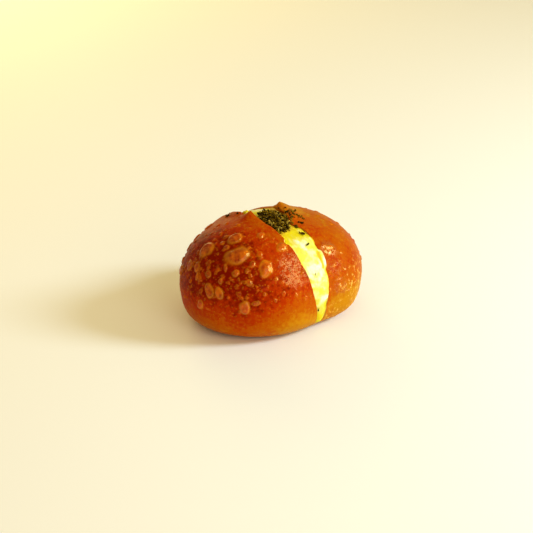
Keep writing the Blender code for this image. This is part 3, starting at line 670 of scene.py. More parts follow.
def blister_specs(fine_count):
    """The main blisters, those of the far side as in the part's source, and fine ones."""
    specs = list(MAIN_BLISTERS + SMALL_BLISTERS)
    draws = np.random.default_rng(BLISTER_SEED)
    for number in range(BACK_BLISTERS):
        turn = draws.uniform(*BACK_TURNS)
        rise = draws.uniform(*BACK_RISES)
        radius = draws.uniform(*BACK_RADII)
        slant = draws.uniform(0.0, 180.0)
        side = LEFT if number % BACK_RIGHT_EVERY else RIGHT
        specs.append((side, turn, rise, radius, BACK_WIDTH_SHARE * radius, slant,
                      BLISTER_STEEPNESS * radius))
    draws = np.random.default_rng(BLISTER_SEED + 1)
    for _ in range(fine_count):
        side = LEFT if draws.uniform() < FINE_LEFT_SHARE else RIGHT
        turn = clipped_draw(draws, *FINE_TURN)
        rise = clipped_draw(draws, *FINE_RISE)
        radius = draws.uniform(*FINE_RADII) + FINE_LARGER * draws.uniform() ** 4
        share = draws.uniform(*FINE_WIDTHS)
        specs.append((side, turn, rise, radius, share * radius, draws.uniform(0.0, 180.0),
                      draws.uniform(*FINE_STEEPNESS) * radius))
    return specs


def blister_frames(specs):
    """Places, axes, radii and heights of blisters; the slant turns the long axis."""
    places, frames, radii, heights = [], [], [], []
    for side, turn, rise, long_radius, short_radius, slant, height in specs:
        place, round_way, up_way, normal = crust_frames(side, np.float64(turn), np.float64(rise))
        angle = math.radians(slant)
        long_way = round_way * math.cos(angle) + up_way * math.sin(angle)
        places.append(place)
        frames.append((long_way, np.cross(normal, long_way), normal))
        radii.append((long_radius, short_radius))
        heights.append(height)
    return places, frames, radii, heights


# ---- Bread ----
def ring_angles(top_columns, base_columns):
    """Angles round a ring, with more columns over the top half than under the base."""
    top = np.linspace(0.0, 180.0, top_columns, endpoint=False)
    base = np.linspace(180.0, 360.0, base_columns, endpoint=False)
    return np.concatenate([top, base])


def crust_rings(side, settings, blisters):
    """Rings of a half bun's crust, from beside its outer pole to the lip of the cut.

    Each ring is a cone of directions round the X axis; its direction gives turn and rise. The
    form is then raised along its normal by the domes and by soft noise.
    """
    angle = np.radians(ring_angles(CRUST_TOP_COLUMNS, CRUST_BASE_COLUMNS))[None, :]
    cone = np.linspace(0.0, math.pi / 2.0, CRUST_ROWS[side] + 1)[1:, None]
    forward = np.cos(cone) + 0.0 * angle
    sideways = np.sin(cone) * np.cos(angle)
    upward = np.sin(cone) * np.sin(angle)
    turn = np.degrees(np.arctan2(sideways, np.maximum(forward, 0.0)))
    rise = np.degrees(np.arcsin(np.clip(upward, -1.0, 1.0)))
    points = crust(side, turn, rise)
    normals = grid_normals(points) * side
    outwards = points - [side * HALF_INSIDE[0], 0.0, HALF_INSIDE[1]]
    normals *= np.sign((normals * outwards).sum(axis=-1, keepdims=True))
    count = len(blisters[0])
    listed = np.arange(count) < len(MAIN_BLISTERS + SMALL_BLISTERS)
    flanks = np.full(count, BLISTER_FLANK)
    flanks[list(ROUND_BLISTERS)] = ROUND_FLANK
    wavers, shares = np.where(listed, *BLISTER_WAVER), np.where(listed, *BLISTER_SHARE)
    height, cover, rim = raise_lumps(points, *blisters, flanks, wavers, shares)
    off_base = smooth_step(0.0, 6.0, points[..., 2])
    relief = height + settings.wrinkle * layered_noise(points, CRUST_NOISE)
    if side == RIGHT:
        relief = relief + fold_relief(points)
    points = points + normals * (relief * off_base)[..., None]
    return points, cover * off_base, rim * off_base


def fold_relief(points):
    """Height of low folds that lie in one line, from the first fold's place to the second's.

    A fold is a hill over the distance across it, times a wider hill over the distance along it.
    """
    relief = np.zeros(points.shape[:-1])
    way = unit(np.array(FOLDS[1][0]) - FOLDS[0][0])
    for place, long, wide, lift in FOLDS:
        away = points - place
        along = away @ way
        down = np.sqrt(np.maximum((away ** 2).sum(axis=-1) - along ** 2, 0.0))
        relief = np.maximum(relief, lift * bump(along, 0.0, long) * bump(down, 0.0, wide))
    return relief


def flap_share(points):
    """1 within the flap's reach at the right lip, and falling to 0 past it."""
    away = np.hypot(points[..., 1] - FLAP_PLACE[0], points[..., 2] - FLAP_PLACE[1])
    return smooth_step(FLAP_REACH + 1.2, FLAP_REACH - 1.0, away)


def shape_lip(side, points):
    """The crust near the cut made uneven: pushed out sideways and down by fading amounts.

    The push is the wall's shave and soft noise, and on the left lip a notch and a tear; each
    fades as exp of minus the distance from the wall, or minus its square.
    """
    hung = overhang(points[..., 1]) if side == RIGHT else 0.0
    away = np.maximum(past_wall(side, points) + hung, 0.0)
    high = smooth_step(3.0, 12.0, points[..., 2])
    push = (WALL_SHAVE + layered_noise(points, LIP_NOISE, side) * high) * np.exp(-away / LIP_FADE)
    fade = np.exp(-(away / TEAR_FADE) ** 2)
    drop = np.zeros(away.shape)
    if side == LEFT:
        reach = (points - NOTCH_PLACE) / NOTCH_RADII
        notch = np.sqrt(np.clip(1.0 - (reach[..., 1:] ** 2).sum(axis=-1), 0.0, 1.0))
        reach = (points[..., 1] - TEAR_PLACE) / TEAR_HALF_LENGTH
        tear = np.sqrt(np.clip(1.0 - reach ** 2, 0.0, 1.0))
        tear = tear * smooth_step(*TEAR_HEIGHTS, points[..., 2])
        push = push + (NOTCH_RADII[0] * notch + tear) * fade
        drop = TEAR_DEPTH * tear * fade
    else:
        push = push + FLAP_DEPTH * flap_share(points) * fade
    moved = points.copy()
    moved[..., 0] += side * push
    moved[..., 2] -= drop
    return moved


def wall_rings(side, lip):
    """Rings down a wall of the cut, from its lip to the middle of its floor.

    Over the cut each ring lies a set depth down the line from lip to floor. Under it, where the
    web of bread closes the cut, the rings only cross the web.
    """
    along = np.clip(lip[:, 1], -FLOOR_HALF_LENGTH, FLOOR_HALF_LENGTH)
    floor = np.stack([lip[:, 0], along, np.full(len(lip), CUT_FLOOR)], axis=-1)
    over = lip[:, 2] > CUT_FLOOR
    floor[~over] = lip[~over]
    depth_to_floor = np.linalg.norm((lip - floor)[:, 1:], axis=1)
    rows = len(WALL_DEPTHS) + FLOOR_ROWS
    rings, depths = [], []
    for number in range(rows):
        if number < len(WALL_DEPTHS):
            share = np.minimum(WALL_DEPTHS[number] / np.maximum(depth_to_floor, 1e-6),
                               (number + 1.0) / (len(WALL_DEPTHS) + 1.0))
            across = np.ones(len(lip))
        else:
            share = np.ones(len(lip))
            across = np.full(len(lip), 1.0 - (number - len(WALL_DEPTHS)) / FLOOR_ROWS)
        ring = lip + (floor - lip) * share[:, None]
        width = half_gap(ring[:, 2]) + WALL_SHAVE
        web = 1.0 - (number + 1.0) / (rows + 1.0)
        crumb = layered_noise(ring, WALL_NOISE)
        fade = smooth_step(0.0, 1.0, share * depth_to_floor) * (across > 0.99)
        edge = past_wall(side, lip) - WALL_SHAVE
        near_lip = np.exp(-share * depth_to_floor / LIP_FADE)
        ring[:, 0] = side * np.where(
            over, width * across + edge * near_lip * across + crumb * fade, width * web)
        rings.append(ring)
        skin = TIP_CRUST[0] * bump(ring[:, 1], *TIP_CRUST[1:], 4.0) if side == RIGHT else 0.0
        depth = np.maximum(share * depth_to_floor - skin, 0.0)
        depths.append(np.where(over, depth + 0.01, 0.0))
    return np.array(rings), np.array(depths)


def bread_surface(settings):
    """Rings of the bread from the left pole over the cut to the right pole, with the cover and
    rim of its blisters and the depth down the walls."""
    blisters = blister_frames(blister_specs(settings.fine_blisters))
    halves = {}
    for side in (LEFT, RIGHT):
        points, cover, rim = crust_rings(side, settings, blisters)
        points = shape_lip(side, points)
        walls, depths = wall_rings(side, points[-1])
        nothing = np.zeros(depths.shape)
        halves[side] = [np.concatenate(parts) for parts in (
            (points, walls), (cover, nothing), (rim, nothing), (np.zeros(cover.shape), depths))]
    middles = [0.5 * (left[-1:] + right[-1:]) for left, right in zip(*halves.values())]
    middles[0][..., 0] = 0.0
    return [np.concatenate([left, middle, right[::-1]]) for left, middle, right in
            zip(halves[LEFT], middles, halves[RIGHT])]


def crust_fields(points, noise):
    """What the crust's looks go by: x, y, z, a height with noise, and the share outwards."""
    x, y, z = np.moveaxis(points, -1, 0)
    outward = np.hypot(x / HALF_WIDTH[RIGHT], y / HALF_LENGTH[RIGHT])
    return {"x": x, "y": y, "z": z, "height": z + layered_noise(points, noise), "outward": outward}


def stepped_sum(fields, start, terms):
    """The start plus each term: its amount times its smooth steps over fields."""
    total = start
    for amount, *steps in terms:
        for field, low, high in steps:
            amount = amount * smooth_step(low, high, fields[field])
        total = total + amount
    return total


def bake_and_light_share(points):
    """How baked the crust is, from 0 near the base to 1 on the left half's top, in patches.

    Each half has its own sum of smooth steps; on the right half two of them are partly painted rim
    light and painted sheen. A hill round the tip is taken from the right one as painted light, and
    a hill along the cut's front, times smooth steps, from both.
    """
    fields = crust_fields(points, BAKE_HEIGHT_NOISE)
    left, right = (stepped_sum(fields, *BAKE[side]) for side in (LEFT, RIGHT))
    away = np.linalg.norm(points - TIP_TOP, axis=-1)
    # A hill of painted light round the tip
    right = right - TIP_PAINTED_LIGHT * np.exp(-(away / TIP_PAINTED_LIGHT_REACH) ** 2)
    share = np.where(fields["x"] < 0.0, left, right)
    share = share + bump(fields["y"], *BAKE_FRONT_HILL) * stepped_sum(fields, *BAKE_FRONT)
    return np.clip(share + layered_noise(points, BAKE_NOISE), 0.0, 1.0)


def glaze_share(points):
    """How thick the glaze lies, from 0 to 1, over a few soft patches."""
    share = np.zeros(points.shape[:-1])
    for place, reach, thick in GLAZE_PATCHES:
        away = np.linalg.norm(points - place, axis=-1)
        share = np.maximum(share, thick * smooth_step(1.15, 0.6, away / reach))
    return share


def pale_and_glint_share(points):
    """1 along the right half's belly and base, else 0: pale crust, painted glints and highlight.
    """
    fields = crust_fields(points, PALE_HEIGHT_NOISE)
    low, belly = (stepped_sum(fields, *terms) for terms in (PALE_LOW_AND_GLINTS, PAINTED_BELLY_HIGHLIGHT))
    return np.maximum(low, belly) * smooth_step(2.0, 8.0, fields["x"])


# ---- Materials ----
class Nodes:
    """Short calls for making a material's nodes and links."""

    def __init__(self, tree):
        self.tree = tree

    def add(self, kind, **values):
        """A new node, with values set on its inputs, or else on the node itself."""
        node = self.tree.nodes.new(kind)
        for key, value in values.items():
            if key in node.inputs:
                node.inputs[key].default_value = value
            else:
                setattr(node, key, value)
        return node

    def link(self, source, target):
        self.tree.links.new(source, target)

    def attribute(self, name):
        return self.add("ShaderNodeAttribute", attribute_name=name).outputs["Fac"]

    def math(self, operation, first, second):
        """The result of an operation on two numbers or outputs."""
        node = self.add("ShaderNodeMath", operation=operation)
        for socket, value in zip(node.inputs, (first, second)):
            if isinstance(value, bpy.types.NodeSocket):
                self.link(value, socket)
            else:
                socket.default_value = value
        return node.outputs[0]

    def times(self, first, second):
        return self.math("MULTIPLY", first, second)

    def plus(self, first, second):
        return self.math("ADD", first, second)

    def line(self, value, slope, start):
        """The value times the slope, plus the start."""
        return self.plus(self.times(value, slope), start)

    def rest(self, share):
        """What is left of 1."""
        return self.math("SUBTRACT", 1.0, share)

    def mix(self, share, first, second):
        """A colour between two, by a share."""
        node = self.add("ShaderNodeMix", data_type="RGBA")
        for name, value in (("Factor", share), ("A", first), ("B", second)):
            socket = next(s for s in node.inputs if s.name == name and s.enabled)
            if isinstance(value, bpy.types.NodeSocket):
                self.link(value, socket)
            else:
                socket.default_value = (*value, 1.0)
        return next(s for s in node.outputs if s.enabled)

    def ramp(self, share, low, high):
        """0 below low, 1 above high, and a smooth step between."""
        node = self.add("ShaderNodeMapRange", interpolation_type="SMOOTHSTEP",
                        **{"From Min": low, "From Max": high})
        self.link(share, node.inputs["Value"])
        return node.outputs["Result"]

    def mottle(self, size, contrast):
        """Noise of a size in millimetres, round 0.5."""
        node = self.add("ShaderNodeGroup", node_tree=mottle_group(), Size=size, Contrast=contrast)
        return node.outputs["Value"]

    def swing(self, size, contrast, reach):
        """Noise of a size in millimetres, round 0."""
        return self.times(self.math("SUBTRACT", self.mottle(size, contrast), 0.5), reach)

    def relief(self, shader, height, strength, distance):
        """Fine relief of a shader, from a height."""
        node = self.add("ShaderNodeBump", Strength=strength, Distance=distance)
        self.link(height, node.inputs["Height"])
        self.link(node.outputs["Normal"], shader.inputs["Normal"])


def food_material(name, values):
    """A material with a Principled shader, whose steady values are set on its own sockets."""
    material = bpy.data.materials.new(name)
    material.use_nodes = True
    shader = material.node_tree.nodes["Principled BSDF"]
    for key, value in values.items():
        shader.inputs[key].default_value = value
    return material, Nodes(material.node_tree), shader


def mottle_group():
    """Noise at a given size in millimetres, spread round a middle of 0.5; used by each food."""
    found = bpy.data.node_groups.get("mottle")
    if found:
        return found
    group = bpy.data.node_groups.new("mottle", "ShaderNodeTree")
    for name, way in (("Size", "INPUT"), ("Contrast", "INPUT"), ("Value", "OUTPUT")):
        group.interface.new_socket(name, in_out=way, socket_type="NodeSocketFloat")
    nodes = Nodes(group)
    inputs = nodes.add("NodeGroupInput")
    place = nodes.add("ShaderNodeTexCoord")
    noise = nodes.add("ShaderNodeTexNoise", Detail=3.0)
    nodes.link(place.outputs["Object"], noise.inputs["Vector"])
    nodes.link(nodes.math("DIVIDE", 1.0 / MM, inputs.outputs["Size"]), noise.inputs["Scale"])
    centred = nodes.math("SUBTRACT", noise.outputs[0], 0.5)
    result = nodes.add("NodeGroupOutput")
    nodes.link(nodes.line(centred, inputs.outputs["Contrast"], 0.5), result.inputs["Value"])
    return group


def small_bubbles(nodes, size):
    """Tiny bubbles at random: 1 in the middle of some cells of a drawn pattern, 0 elsewhere."""
    place = nodes.add("ShaderNodeTexCoord")
    cells = nodes.add("ShaderNodeTexVoronoi", feature="F1", Scale=1.0 / (size * MM))
    nodes.link(place.outputs["Object"], cells.inputs["Vector"])
    draw = nodes.add("ShaderNodeSeparateColor")
    nodes.link(cells.outputs["Color"], draw.inputs["Color"])
    dome = nodes.ramp(cells.outputs["Distance"], 0.48, 0.12)
    return nodes.times(dome, nodes.ramp(draw.outputs[0], 0.35, 0.75))


def crust_material(settings):
    """Baked, glazed crust that turns to pale crumb on the cut.

    The colour goes by how baked the crust is, with painted rim light, sheen and tip light in it,
    then by its bubbles, partly painted glints, by blisters, their rims, and the pale flecks,
    partly painted glints and highlight. The gloss lies on blisters, in spots and where the glaze
    is thick.
    """
    material, nodes, shader = food_material("glazed_crust", CRUST_SHADER)
    bubbles = small_bubbles(nodes, 1.2)
    blister = nodes.attribute("blister")
    glaze = nodes.attribute("glaze")
    depth = nodes.attribute("depth")
    on_wall = nodes.ramp(depth, 0.02, 0.3)
    patches = nodes.line(nodes.mottle(4.0, 1.6), 0.30, 0.85)
    # The bake share also carries painted rim light, sheen and tip light on the right half
    bake = nodes.plus(nodes.times(nodes.attribute("bake"), patches), nodes.swing(2.0, 2.2, 0.27))
    skin = nodes.line(nodes.mottle(3.0, 2.6), 0.62, 0.02)
    # Pale flecks: partly paler crust, partly painted glints and highlight
    flecks = nodes.times(nodes.attribute("pale"), nodes.ramp(nodes.mottle(1.9, 2.8), 0.58, 1.1))
    past_edge = nodes.ramp(
        nodes.plus(depth, nodes.swing(1.2, 1.0, 0.5)), CRUST_EDGE - 0.2, CRUST_EDGE + 0.4)
    tone = settings.golden
    for share, over in (
            (nodes.ramp(bake, 0.0, 0.40), settings.orange),
            (nodes.ramp(bake, 0.40, 0.72), settings.russet),
            (nodes.ramp(bake, 0.70, 1.05), settings.deep),
            # The tiny bubbles' golden tint is partly their thinner skin and partly painted glints
            (nodes.times(bubbles, 0.32), settings.golden),
            (nodes.times(blister, skin), settings.blister),
            (nodes.times(nodes.attribute("rim"), 0.42), settings.golden),
            (nodes.times(flecks, 0.72), settings.pale),
            (nodes.times(on_wall, 0.5), settings.golden),
            (past_edge, settings.crumb)):
        tone = nodes.mix(share, tone, over)
    nodes.link(tone, shader.inputs["Base Color"])

    spots = nodes.times(nodes.ramp(nodes.mottle(3.0, 1.8), 0.55, 1.0), 0.3)
    gloss = nodes.math("MAXIMUM", spots, nodes.times(nodes.times(blister, blister), 1.35))
    thick = nodes.times(glaze, nodes.ramp(nodes.mottle(1.8, 1.8), 0.25, 0.75))
    gloss = nodes.math("MAXIMUM", nodes.times(gloss, 0.26), nodes.times(thick, 0.75))
    gloss = nodes.times(gloss, nodes.rest(on_wall))
    nodes.link(gloss, shader.inputs["Coat Weight"])
    rough = nodes.math("SUBTRACT", 0.42, nodes.times(gloss, 0.20))
    nodes.link(rough, shader.inputs["Roughness"])
    fine = nodes.line(nodes.mottle(0.9, 1.0), 0.8, nodes.times(bubbles, 0.6))
    runs = nodes.times(glaze, nodes.mottle(1.3, 2.4))
    nodes.relief(shader, nodes.plus(fine, nodes.times(runs, 5.0)), 0.42, 0.25 * MM)
    return material


def egg_material(settings):
    """Moist mashed yolk with paler pieces of egg white."""
    material, nodes, shader = food_material("egg_salad", EGG_SHADER)
    blotch = nodes.ramp(nodes.mottle(5.5, 2.0), 0.32, 0.85)
    share = nodes.times(nodes.attribute("white"), nodes.line(blotch, 0.35, 0.08))
    share = nodes.plus(share, nodes.times(blotch, 0.65))
    # The edge attribute is partly yolk tone and partly painted shade in creases, gaps, under the
    # heap's edge and under the right lip
    edge = nodes.plus(nodes.attribute("edge"), nodes.swing(3.0, 1.5, 0.6))
    yolk = nodes.mix(nodes.ramp(edge, 0.2, 0.9), settings.yolk, settings.edge)
    yolk = nodes.mix(nodes.ramp(edge, 1.1, 1.9), yolk, settings.ochre)
    share = nodes.times(share, nodes.rest(nodes.ramp(edge, 0.4, 1.2)))
    nodes.link(nodes.mix(share, yolk, settings.white), shader.inputs["Base Color"])
    nodes.relief(shader, nodes.mottle(0.7, 1.0), 0.25, 0.2 * MM)
    return material


def parsley_material(settings):
    """Dry leaf, from nearly black to olive by each flake's own draw, and straw-coloured stems."""
    material, nodes, shader = food_material("dried_parsley", PARSLEY_SHADER)
    tone = nodes.plus(nodes.attribute("tone"), nodes.swing(0.8, 1.5, 0.35))
    leaf = nodes.mix(nodes.ramp(tone, 0.0, 0.7), settings.dark, settings.olive)
    leaf = nodes.mix(nodes.ramp(tone, 0.75, 1.3), leaf, settings.straw)
    nodes.link(leaf, shader.inputs["Base Color"])
    return material


# ---- Egg salad ----
def between(sizes, across):
    """A size that changes evenly from the left wall, at -1, to the right wall, at 1."""
    return sizes[LEFT] + (sizes[RIGHT] - sizes[LEFT]) * (across + 1.0) / 2.0


def egg_point(across, angle, ring=1.0, spread=0.0):
    """Points of the wedge of egg, as in the part's source, and spread wider by spread."""
    rise = np.where(np.abs(angle) <= 90.0, angle, np.sign(angle) * 180.0 - angle)
    forward = np.where(np.abs(angle) <= 90.0, 1.0, -1.0)
    share, height = profile(LEFT, rise, between(EGG_TOP, across))
    along = forward * share * (CUT_HALF_LENGTH - between(EGG_RECESS, across))
    swell = EGG_BULGE * (1.0 - across ** 2)
    scale = ring * (1.0 + swell / np.hypot(along, height - EGG_CENTRE))
    height = np.maximum(EGG_CENTRE + scale * (height - EGG_CENTRE), CUT_FLOOR + TOUCH_GAP)
    wide = half_gap(height) - TOUCH_GAP + spread
    return np.stack([across * wide, scale * along, height], axis=-1)


def egg_outward(places):
    """Unit directions from the middle of the wedge of egg to places on it."""
    return unit(places - [0.0, 0.0, EGG_CENTRE])


def egg_height(across, along):
    """Height of the crest over a point of the plan, in the wedge's upper part."""
    side = np.clip(across / CUT_HALF_GAP_TOP, -1.0, 1.0)
    share = np.abs(along) / (CUT_HALF_LENGTH - between(EGG_RECESS, side))
    arc = (1.0 - np.clip(share, 0.0, 1.0) ** UPPER_ROUNDNESS) ** (1.0 / UPPER_ROUNDNESS)
    swell = EGG_BULGE * (1.0 - side ** 2)
    return BELLY_HEIGHT + (between(EGG_TOP, side) - BELLY_HEIGHT) * arc + swell


def egg_pieces(count):
    """Places, axes, radii and heights of chopped pieces on the crest, drawn at random."""
    draws = np.random.default_rng(PIECE_SEED)
    across = draws.uniform(-0.95, 0.95, count)
    angle = draws.uniform(-4.0, 184.0, count)
    place = egg_point(across, angle)
    outward = egg_outward(place)
    spin = draws.uniform(0.0, math.pi, count)[:, None]
    side_way = unit(np.cross(outward, [0.0, 1.0, 0.3]))
    long_way = side_way * np.cos(spin) + np.cross(outward, side_way) * np.sin(spin)
    least, extra = PIECE_RADIUS
    radius = least + extra * draws.uniform(size=count) ** 1.3
    radii = np.stack([radius, radius * draws.uniform(*PIECE_WIDTHS, count)], axis=-1)
    height = draws.uniform(*PIECE_HEIGHTS, count)
    return place, list(zip(long_way, np.cross(outward, long_way))), radii, height


def egg_grid():
    """Share across of each row and angle of each column, both over the whole crest.

    Rows lie closer beside the walls: half by a sine, half evenly.
    """
    top = np.linspace(180.0 - EGG_TOP_END, EGG_TOP_END, EGG_TOP_COLUMNS)
    base = np.linspace(EGG_TOP_END, 540.0 - EGG_TOP_END, EGG_BASE_COLUMNS + 2)[1:-1]
    angle = np.concatenate([top, base])
    angle = np.where(angle > 180.0, angle - 360.0, angle)
    even = np.linspace(-1.0, 1.0, EGG_ROWS)
    across = 0.5 * np.sin(even * math.pi / 2.0) + 0.5 * even
    return np.meshgrid(across, angle, indexing="ij")


def egg_crest(across, angle, settings):
    """The crest's points, and on each the pieces' cover, the flap, and how far it is tucked in.

    The wedge's crest is raised by the pieces, by soft noise for the paste between them, and in
    front by a smear against the right lip. It goes sideways into the left lip's notch and tear
    and out over the flap, and up at the stub. It is tucked in where it lies under the right
    lip's overhang.
    """
    crest = egg_point(across, angle, 1.0, EGG_SPREAD)
    outward = egg_outward(crest * [0.0, 1.0, 1.0])
    pieces = egg_pieces(settings.pieces)
    height, cover, _ = raise_lumps(crest, *pieces, PIECE_FLANK, PIECE_WAVER, 1.0)
    above = smooth_step(CUT_FLOOR + 0.5, CUT_FLOOR + 3.0, crest[..., 2])
    front = smooth_step(100.0, 118.0, angle) * smooth_step(190.0, 172.0, angle)
    smear = front * smooth_step(0.35, 0.95, across) * (0.7 + 0.5 * soft_noise(crest, 4.0, 54))
    hung = overhang(crest[..., 1])
    smear = smear * smooth_step(2.0, 0.3, hung)
    relief = height - EGG_LOWERED + smear + settings.paste * layered_noise(crest, PASTE_NOISE)
    crest = crest + outward * (relief * above)[..., None]
    tucked = smooth_step(0.8, -0.8, half_gap(crest[..., 2]) - hung - crest[..., 0])
    tucked = tucked * smooth_step(0.0, 1.0, hung)
    high = smooth_step(EGG_CENTRE, EGG_CENTRE + 10.0, crest[..., 2])
    swell = NOTCH_RADII[0] * bump(crest[..., 1], NOTCH_PLACE[1], NOTCH_RADII[1])
    swell = swell + 0.9 * bump(crest[..., 1], TEAR_PLACE, TEAR_HALF_LENGTH)
    crest[..., 0] -= smooth_step(-0.4, -1.0, across) * high * swell
    crest[..., 2] += STUB_LIFT * stub_share(crest) * (crest[..., 2] > EGG_CENTRE)
    flap = flap_share(crest) * smooth_step(0.55, 1.0, across)
    crest[..., 0] += FLAP_DEPTH * flap
    return crest + outward * (0.3 * flap)[..., None], cover, flap, tucked


def stub_share(points):
    """1 on the stub behind the left lip's tear, and 0 past it."""
    away = np.hypot(points[..., 0] - STUB_PLACE[0], points[..., 1] - STUB_PLACE[1])
    return np.exp(-(away / STUB_RADIUS) ** 6)


def yolk_tone_and_shade(across, angle, crest, flap, tucked):
    """How deep the yolk's colour is, with painted shade: 0 in the open, 1 by the bread, up to 2.

    It is the most of what the strips by the walls, painted crease shade, the part under the heap,
    the smooth yolk before it, the low end and the stub give, with more along the heap's edge and
    under the overhanging lip, both painted shade. On the flap it is less, apart from a painted
    shadow line along it.
    """
    # Deeper yellow in the strips by the walls: painted crease shade
    wall_crease_shade = smooth_step(0.62, 1.0, np.abs(across + 0.1 * soft_noise(crest, 5.0, 55)))
    under_heap = smooth_step(130.0, 116.0, angle + 7.0 * across) * smooth_step(60.0, 90.0, angle)
    smooth_yolk = np.maximum(bump(across, -0.45, 0.35) * bump(angle, 122.0, 9.0, 4.0),
                             1.1 * bump(angle, 120.5, 8.0, 4.0))
    # Painted shade along the heap's front edge
    heap_edge_shade = 0.8 * bump(angle + 2.0 * across, 115.5, 3.0)
    tone_and_shade = np.maximum(np.maximum(wall_crease_shade, under_heap), smooth_yolk) + heap_edge_shade
    tone_and_shade = np.maximum(tone_and_shade, 1.15 * smooth_step(24.0, 7.0, crest[..., 2]))
    # Painted shade under the overhanging right lip, and the stub's own deeper colour
    tone_and_shade = np.maximum(tone_and_shade + 1.2 * tucked, 1.25 * stub_share(crest))
    # A painted shadow line along the flap's edge
    return tone_and_shade * (1.0 - 0.45 * flap) + 1.8 * bump(across, 0.70, 0.09) * flap_share(crest)


def egg_surface(settings):
    """Rings of the wedge: out over the left wall, across the crest, in over the right wall."""
    across, angle = egg_grid()
    crest, cover, flap, tucked = egg_crest(across, angle, settings)
    left, right = (np.array([egg_point(side + 0.0 * angle[0], angle[0], ring, EGG_SPREAD)
                             for ring in EGG_WALL_RINGS]) for side in (LEFT, RIGHT))
    points = np.concatenate([left[::-1], crest, right])
    nothing = np.zeros(left.shape[:2])
    tone_and_shade = yolk_tone_and_shade(across, angle, crest, flap, tucked)
    middle = half_gap(EGG_CENTRE) - TOUCH_GAP + EGG_SPREAD
    poles = [(side * middle, 0.0, EGG_CENTRE) for side in (LEFT, RIGHT)]
    return points, poles, {"white": np.concatenate([nothing, cover, nothing]),
                           "edge": np.concatenate([nothing + 1.0, tone_and_shade, nothing + 1.0])}


# ---- Parsley ----
def heap_outline(across, along, extra=0.0):
    """Points of the plan from points of a round disc: stretched, made uneven and turned.

    What would come too near the left wall is pressed together within a margin before it.
    """
    angle = np.arctan2(along, across)
    uneven = 1.0 + sum(size * np.sin(waves * angle + start) for waves, size, start in HEAP_WAVES)
    stretched_x = HEAP_RADII[0] * across * (uneven + extra)
    stretched_y = HEAP_RADII[1] * along * (uneven + extra)
    turn = math.radians(HEAP_TURN)
    place_x = HEAP_CENTRE[0] + stretched_x * math.cos(turn) - stretched_y * math.sin(turn)
    place_y = HEAP_CENTRE[1] + stretched_x * math.sin(turn) + stretched_y * math.cos(turn)
    room = (place_x + HEAP_WALL) / HEAP_WALL_MARGIN
    pressed = HEAP_WALL_MARGIN * np.exp(np.minimum(room, 1.0) - 1.0) - HEAP_WALL
    return np.where(room < 1.0, pressed, place_x), place_y


def heap_place(across, along):
    """A point of the plan over a square of -1 to 1, rounded to the heap's uneven outline."""
    disc_x = across * np.sqrt(1.0 - along ** 2 / 2.0)
    disc_y = along * np.sqrt(1.0 - across ** 2 / 2.0)
    return *heap_outline(disc_x, disc_y), np.hypot(disc_x, disc_y)


def heap_ground(across, along):
    """Height of what the heap lies on: the egg's crest, and the right lip's crust beyond it."""
    away = across - half_gap(HEIGHT[RIGHT])
    turn, rise = over_plan(RIGHT, np.maximum(away, 0.05), along)
    on_lip = smooth_step(-LIP_UNDER_HEAP, 0.0, away)
    return egg_height(across, along) * (1.0 - on_lip) + crust(RIGHT, turn, rise)[..., 2] * on_lip


def flake_points(places, normals, lengths, draws, slim=1.0, ways=None):
    """Corner places of many thin curled flakes, as one array.

    A flake is a grid of stations along it and lines across it, on two skins. Its width is drawn
    anew at each station, it curls up along and across, and it is turned to its normal, with its
    length along its way or, where none is given, at a drawn angle.
    """
    count = len(places)
    stations, lines = FLAKE_GRID
    along = np.linspace(-1.0, 1.0, stations)[None, None, :, None]
    across = np.linspace(-1.0, 1.0, lines)[None, None, None, :]
    skin = np.array([-1.0, 1.0])[None, :, None, None]
    width = draws.uniform(*FLAKE_WIDTHS, (count, 1, stations, 1)) * (1.0 - 0.35 * np.abs(along))
    width = slim * width
    drift = slim * draws.uniform(-FLAKE_DRIFT, FLAKE_DRIFT, (count, 1, stations, 1))
    curl = draws.uniform(*FLAKE_CURL, (count, 1, 1, 1))
    cup = draws.uniform(*FLAKE_CUP, (count, 1, 1, 1))
    twist = draws.uniform(-FLAKE_TWIST, FLAKE_TWIST, (count, 1, 1, 1))
    half = lengths[:, None, None, None] / 2.0
    local_x = half * (along + 0.0 * across + 0.0 * skin)
    local_y = half * (drift + width * across + 0.0 * skin)
    local_z = curl * along ** 2 + cup * (width * across) ** 2 + twist * along * width * across
    local_z = half * local_z + skin * FLAKE_HALF_THICKNESS * (1.0 - 0.5 * across ** 2)
    spin = draws.uniform(0.0, 2.0 * math.pi, count)
    first = unit(np.cross(normals, [0.31, 0.95, 0.05]))
    second = np.cross(normals, first)
    x_way = first * np.cos(spin)[:, None] + second * np.sin(spin)[:, None]
    if ways is not None:
        x_way = unit(ways - normals * (ways * normals).sum(axis=-1, keepdims=True))
    y_way = np.cross(normals, x_way)
    local = np.stack([local_x, local_y, local_z], axis=-1)
    axes = np.stack([x_way, y_way, normals], axis=1)
    return np.einsum("nsabk,nkc->nsabc", local, axes) + places[:, None, None, None, :]


def flake_faces(count):
    """Corners of every flake's closed skin: two grids and the band round their edge."""
    stations, lines = FLAKE_GRID
    grid = np.arange(stations * lines).reshape(stations, lines)
    lower = np.stack([grid[:-1, :-1], grid[:-1, 1:], grid[1:, 1:], grid[1:, :-1]], axis=-1)
    upper = lower[..., ::-1] + stations * lines
    edge = np.concatenate([grid[0, :], grid[1:, -1], grid[-1, -2::-1], grid[-2:0:-1, 0]])
    after = np.roll(edge, -1)
    band = np.stack([after, edge, edge + stations * lines, after + stations * lines], axis=-1)
    one = np.concatenate([lower.reshape(-1, 4), upper.reshape(-1, 4), band])
    shift = (2 * stations * lines * np.arange(count))[:, None, None]
    loops = (one[None] + shift).reshape(-1)
    return loops, np.full(count * len(one), 4)


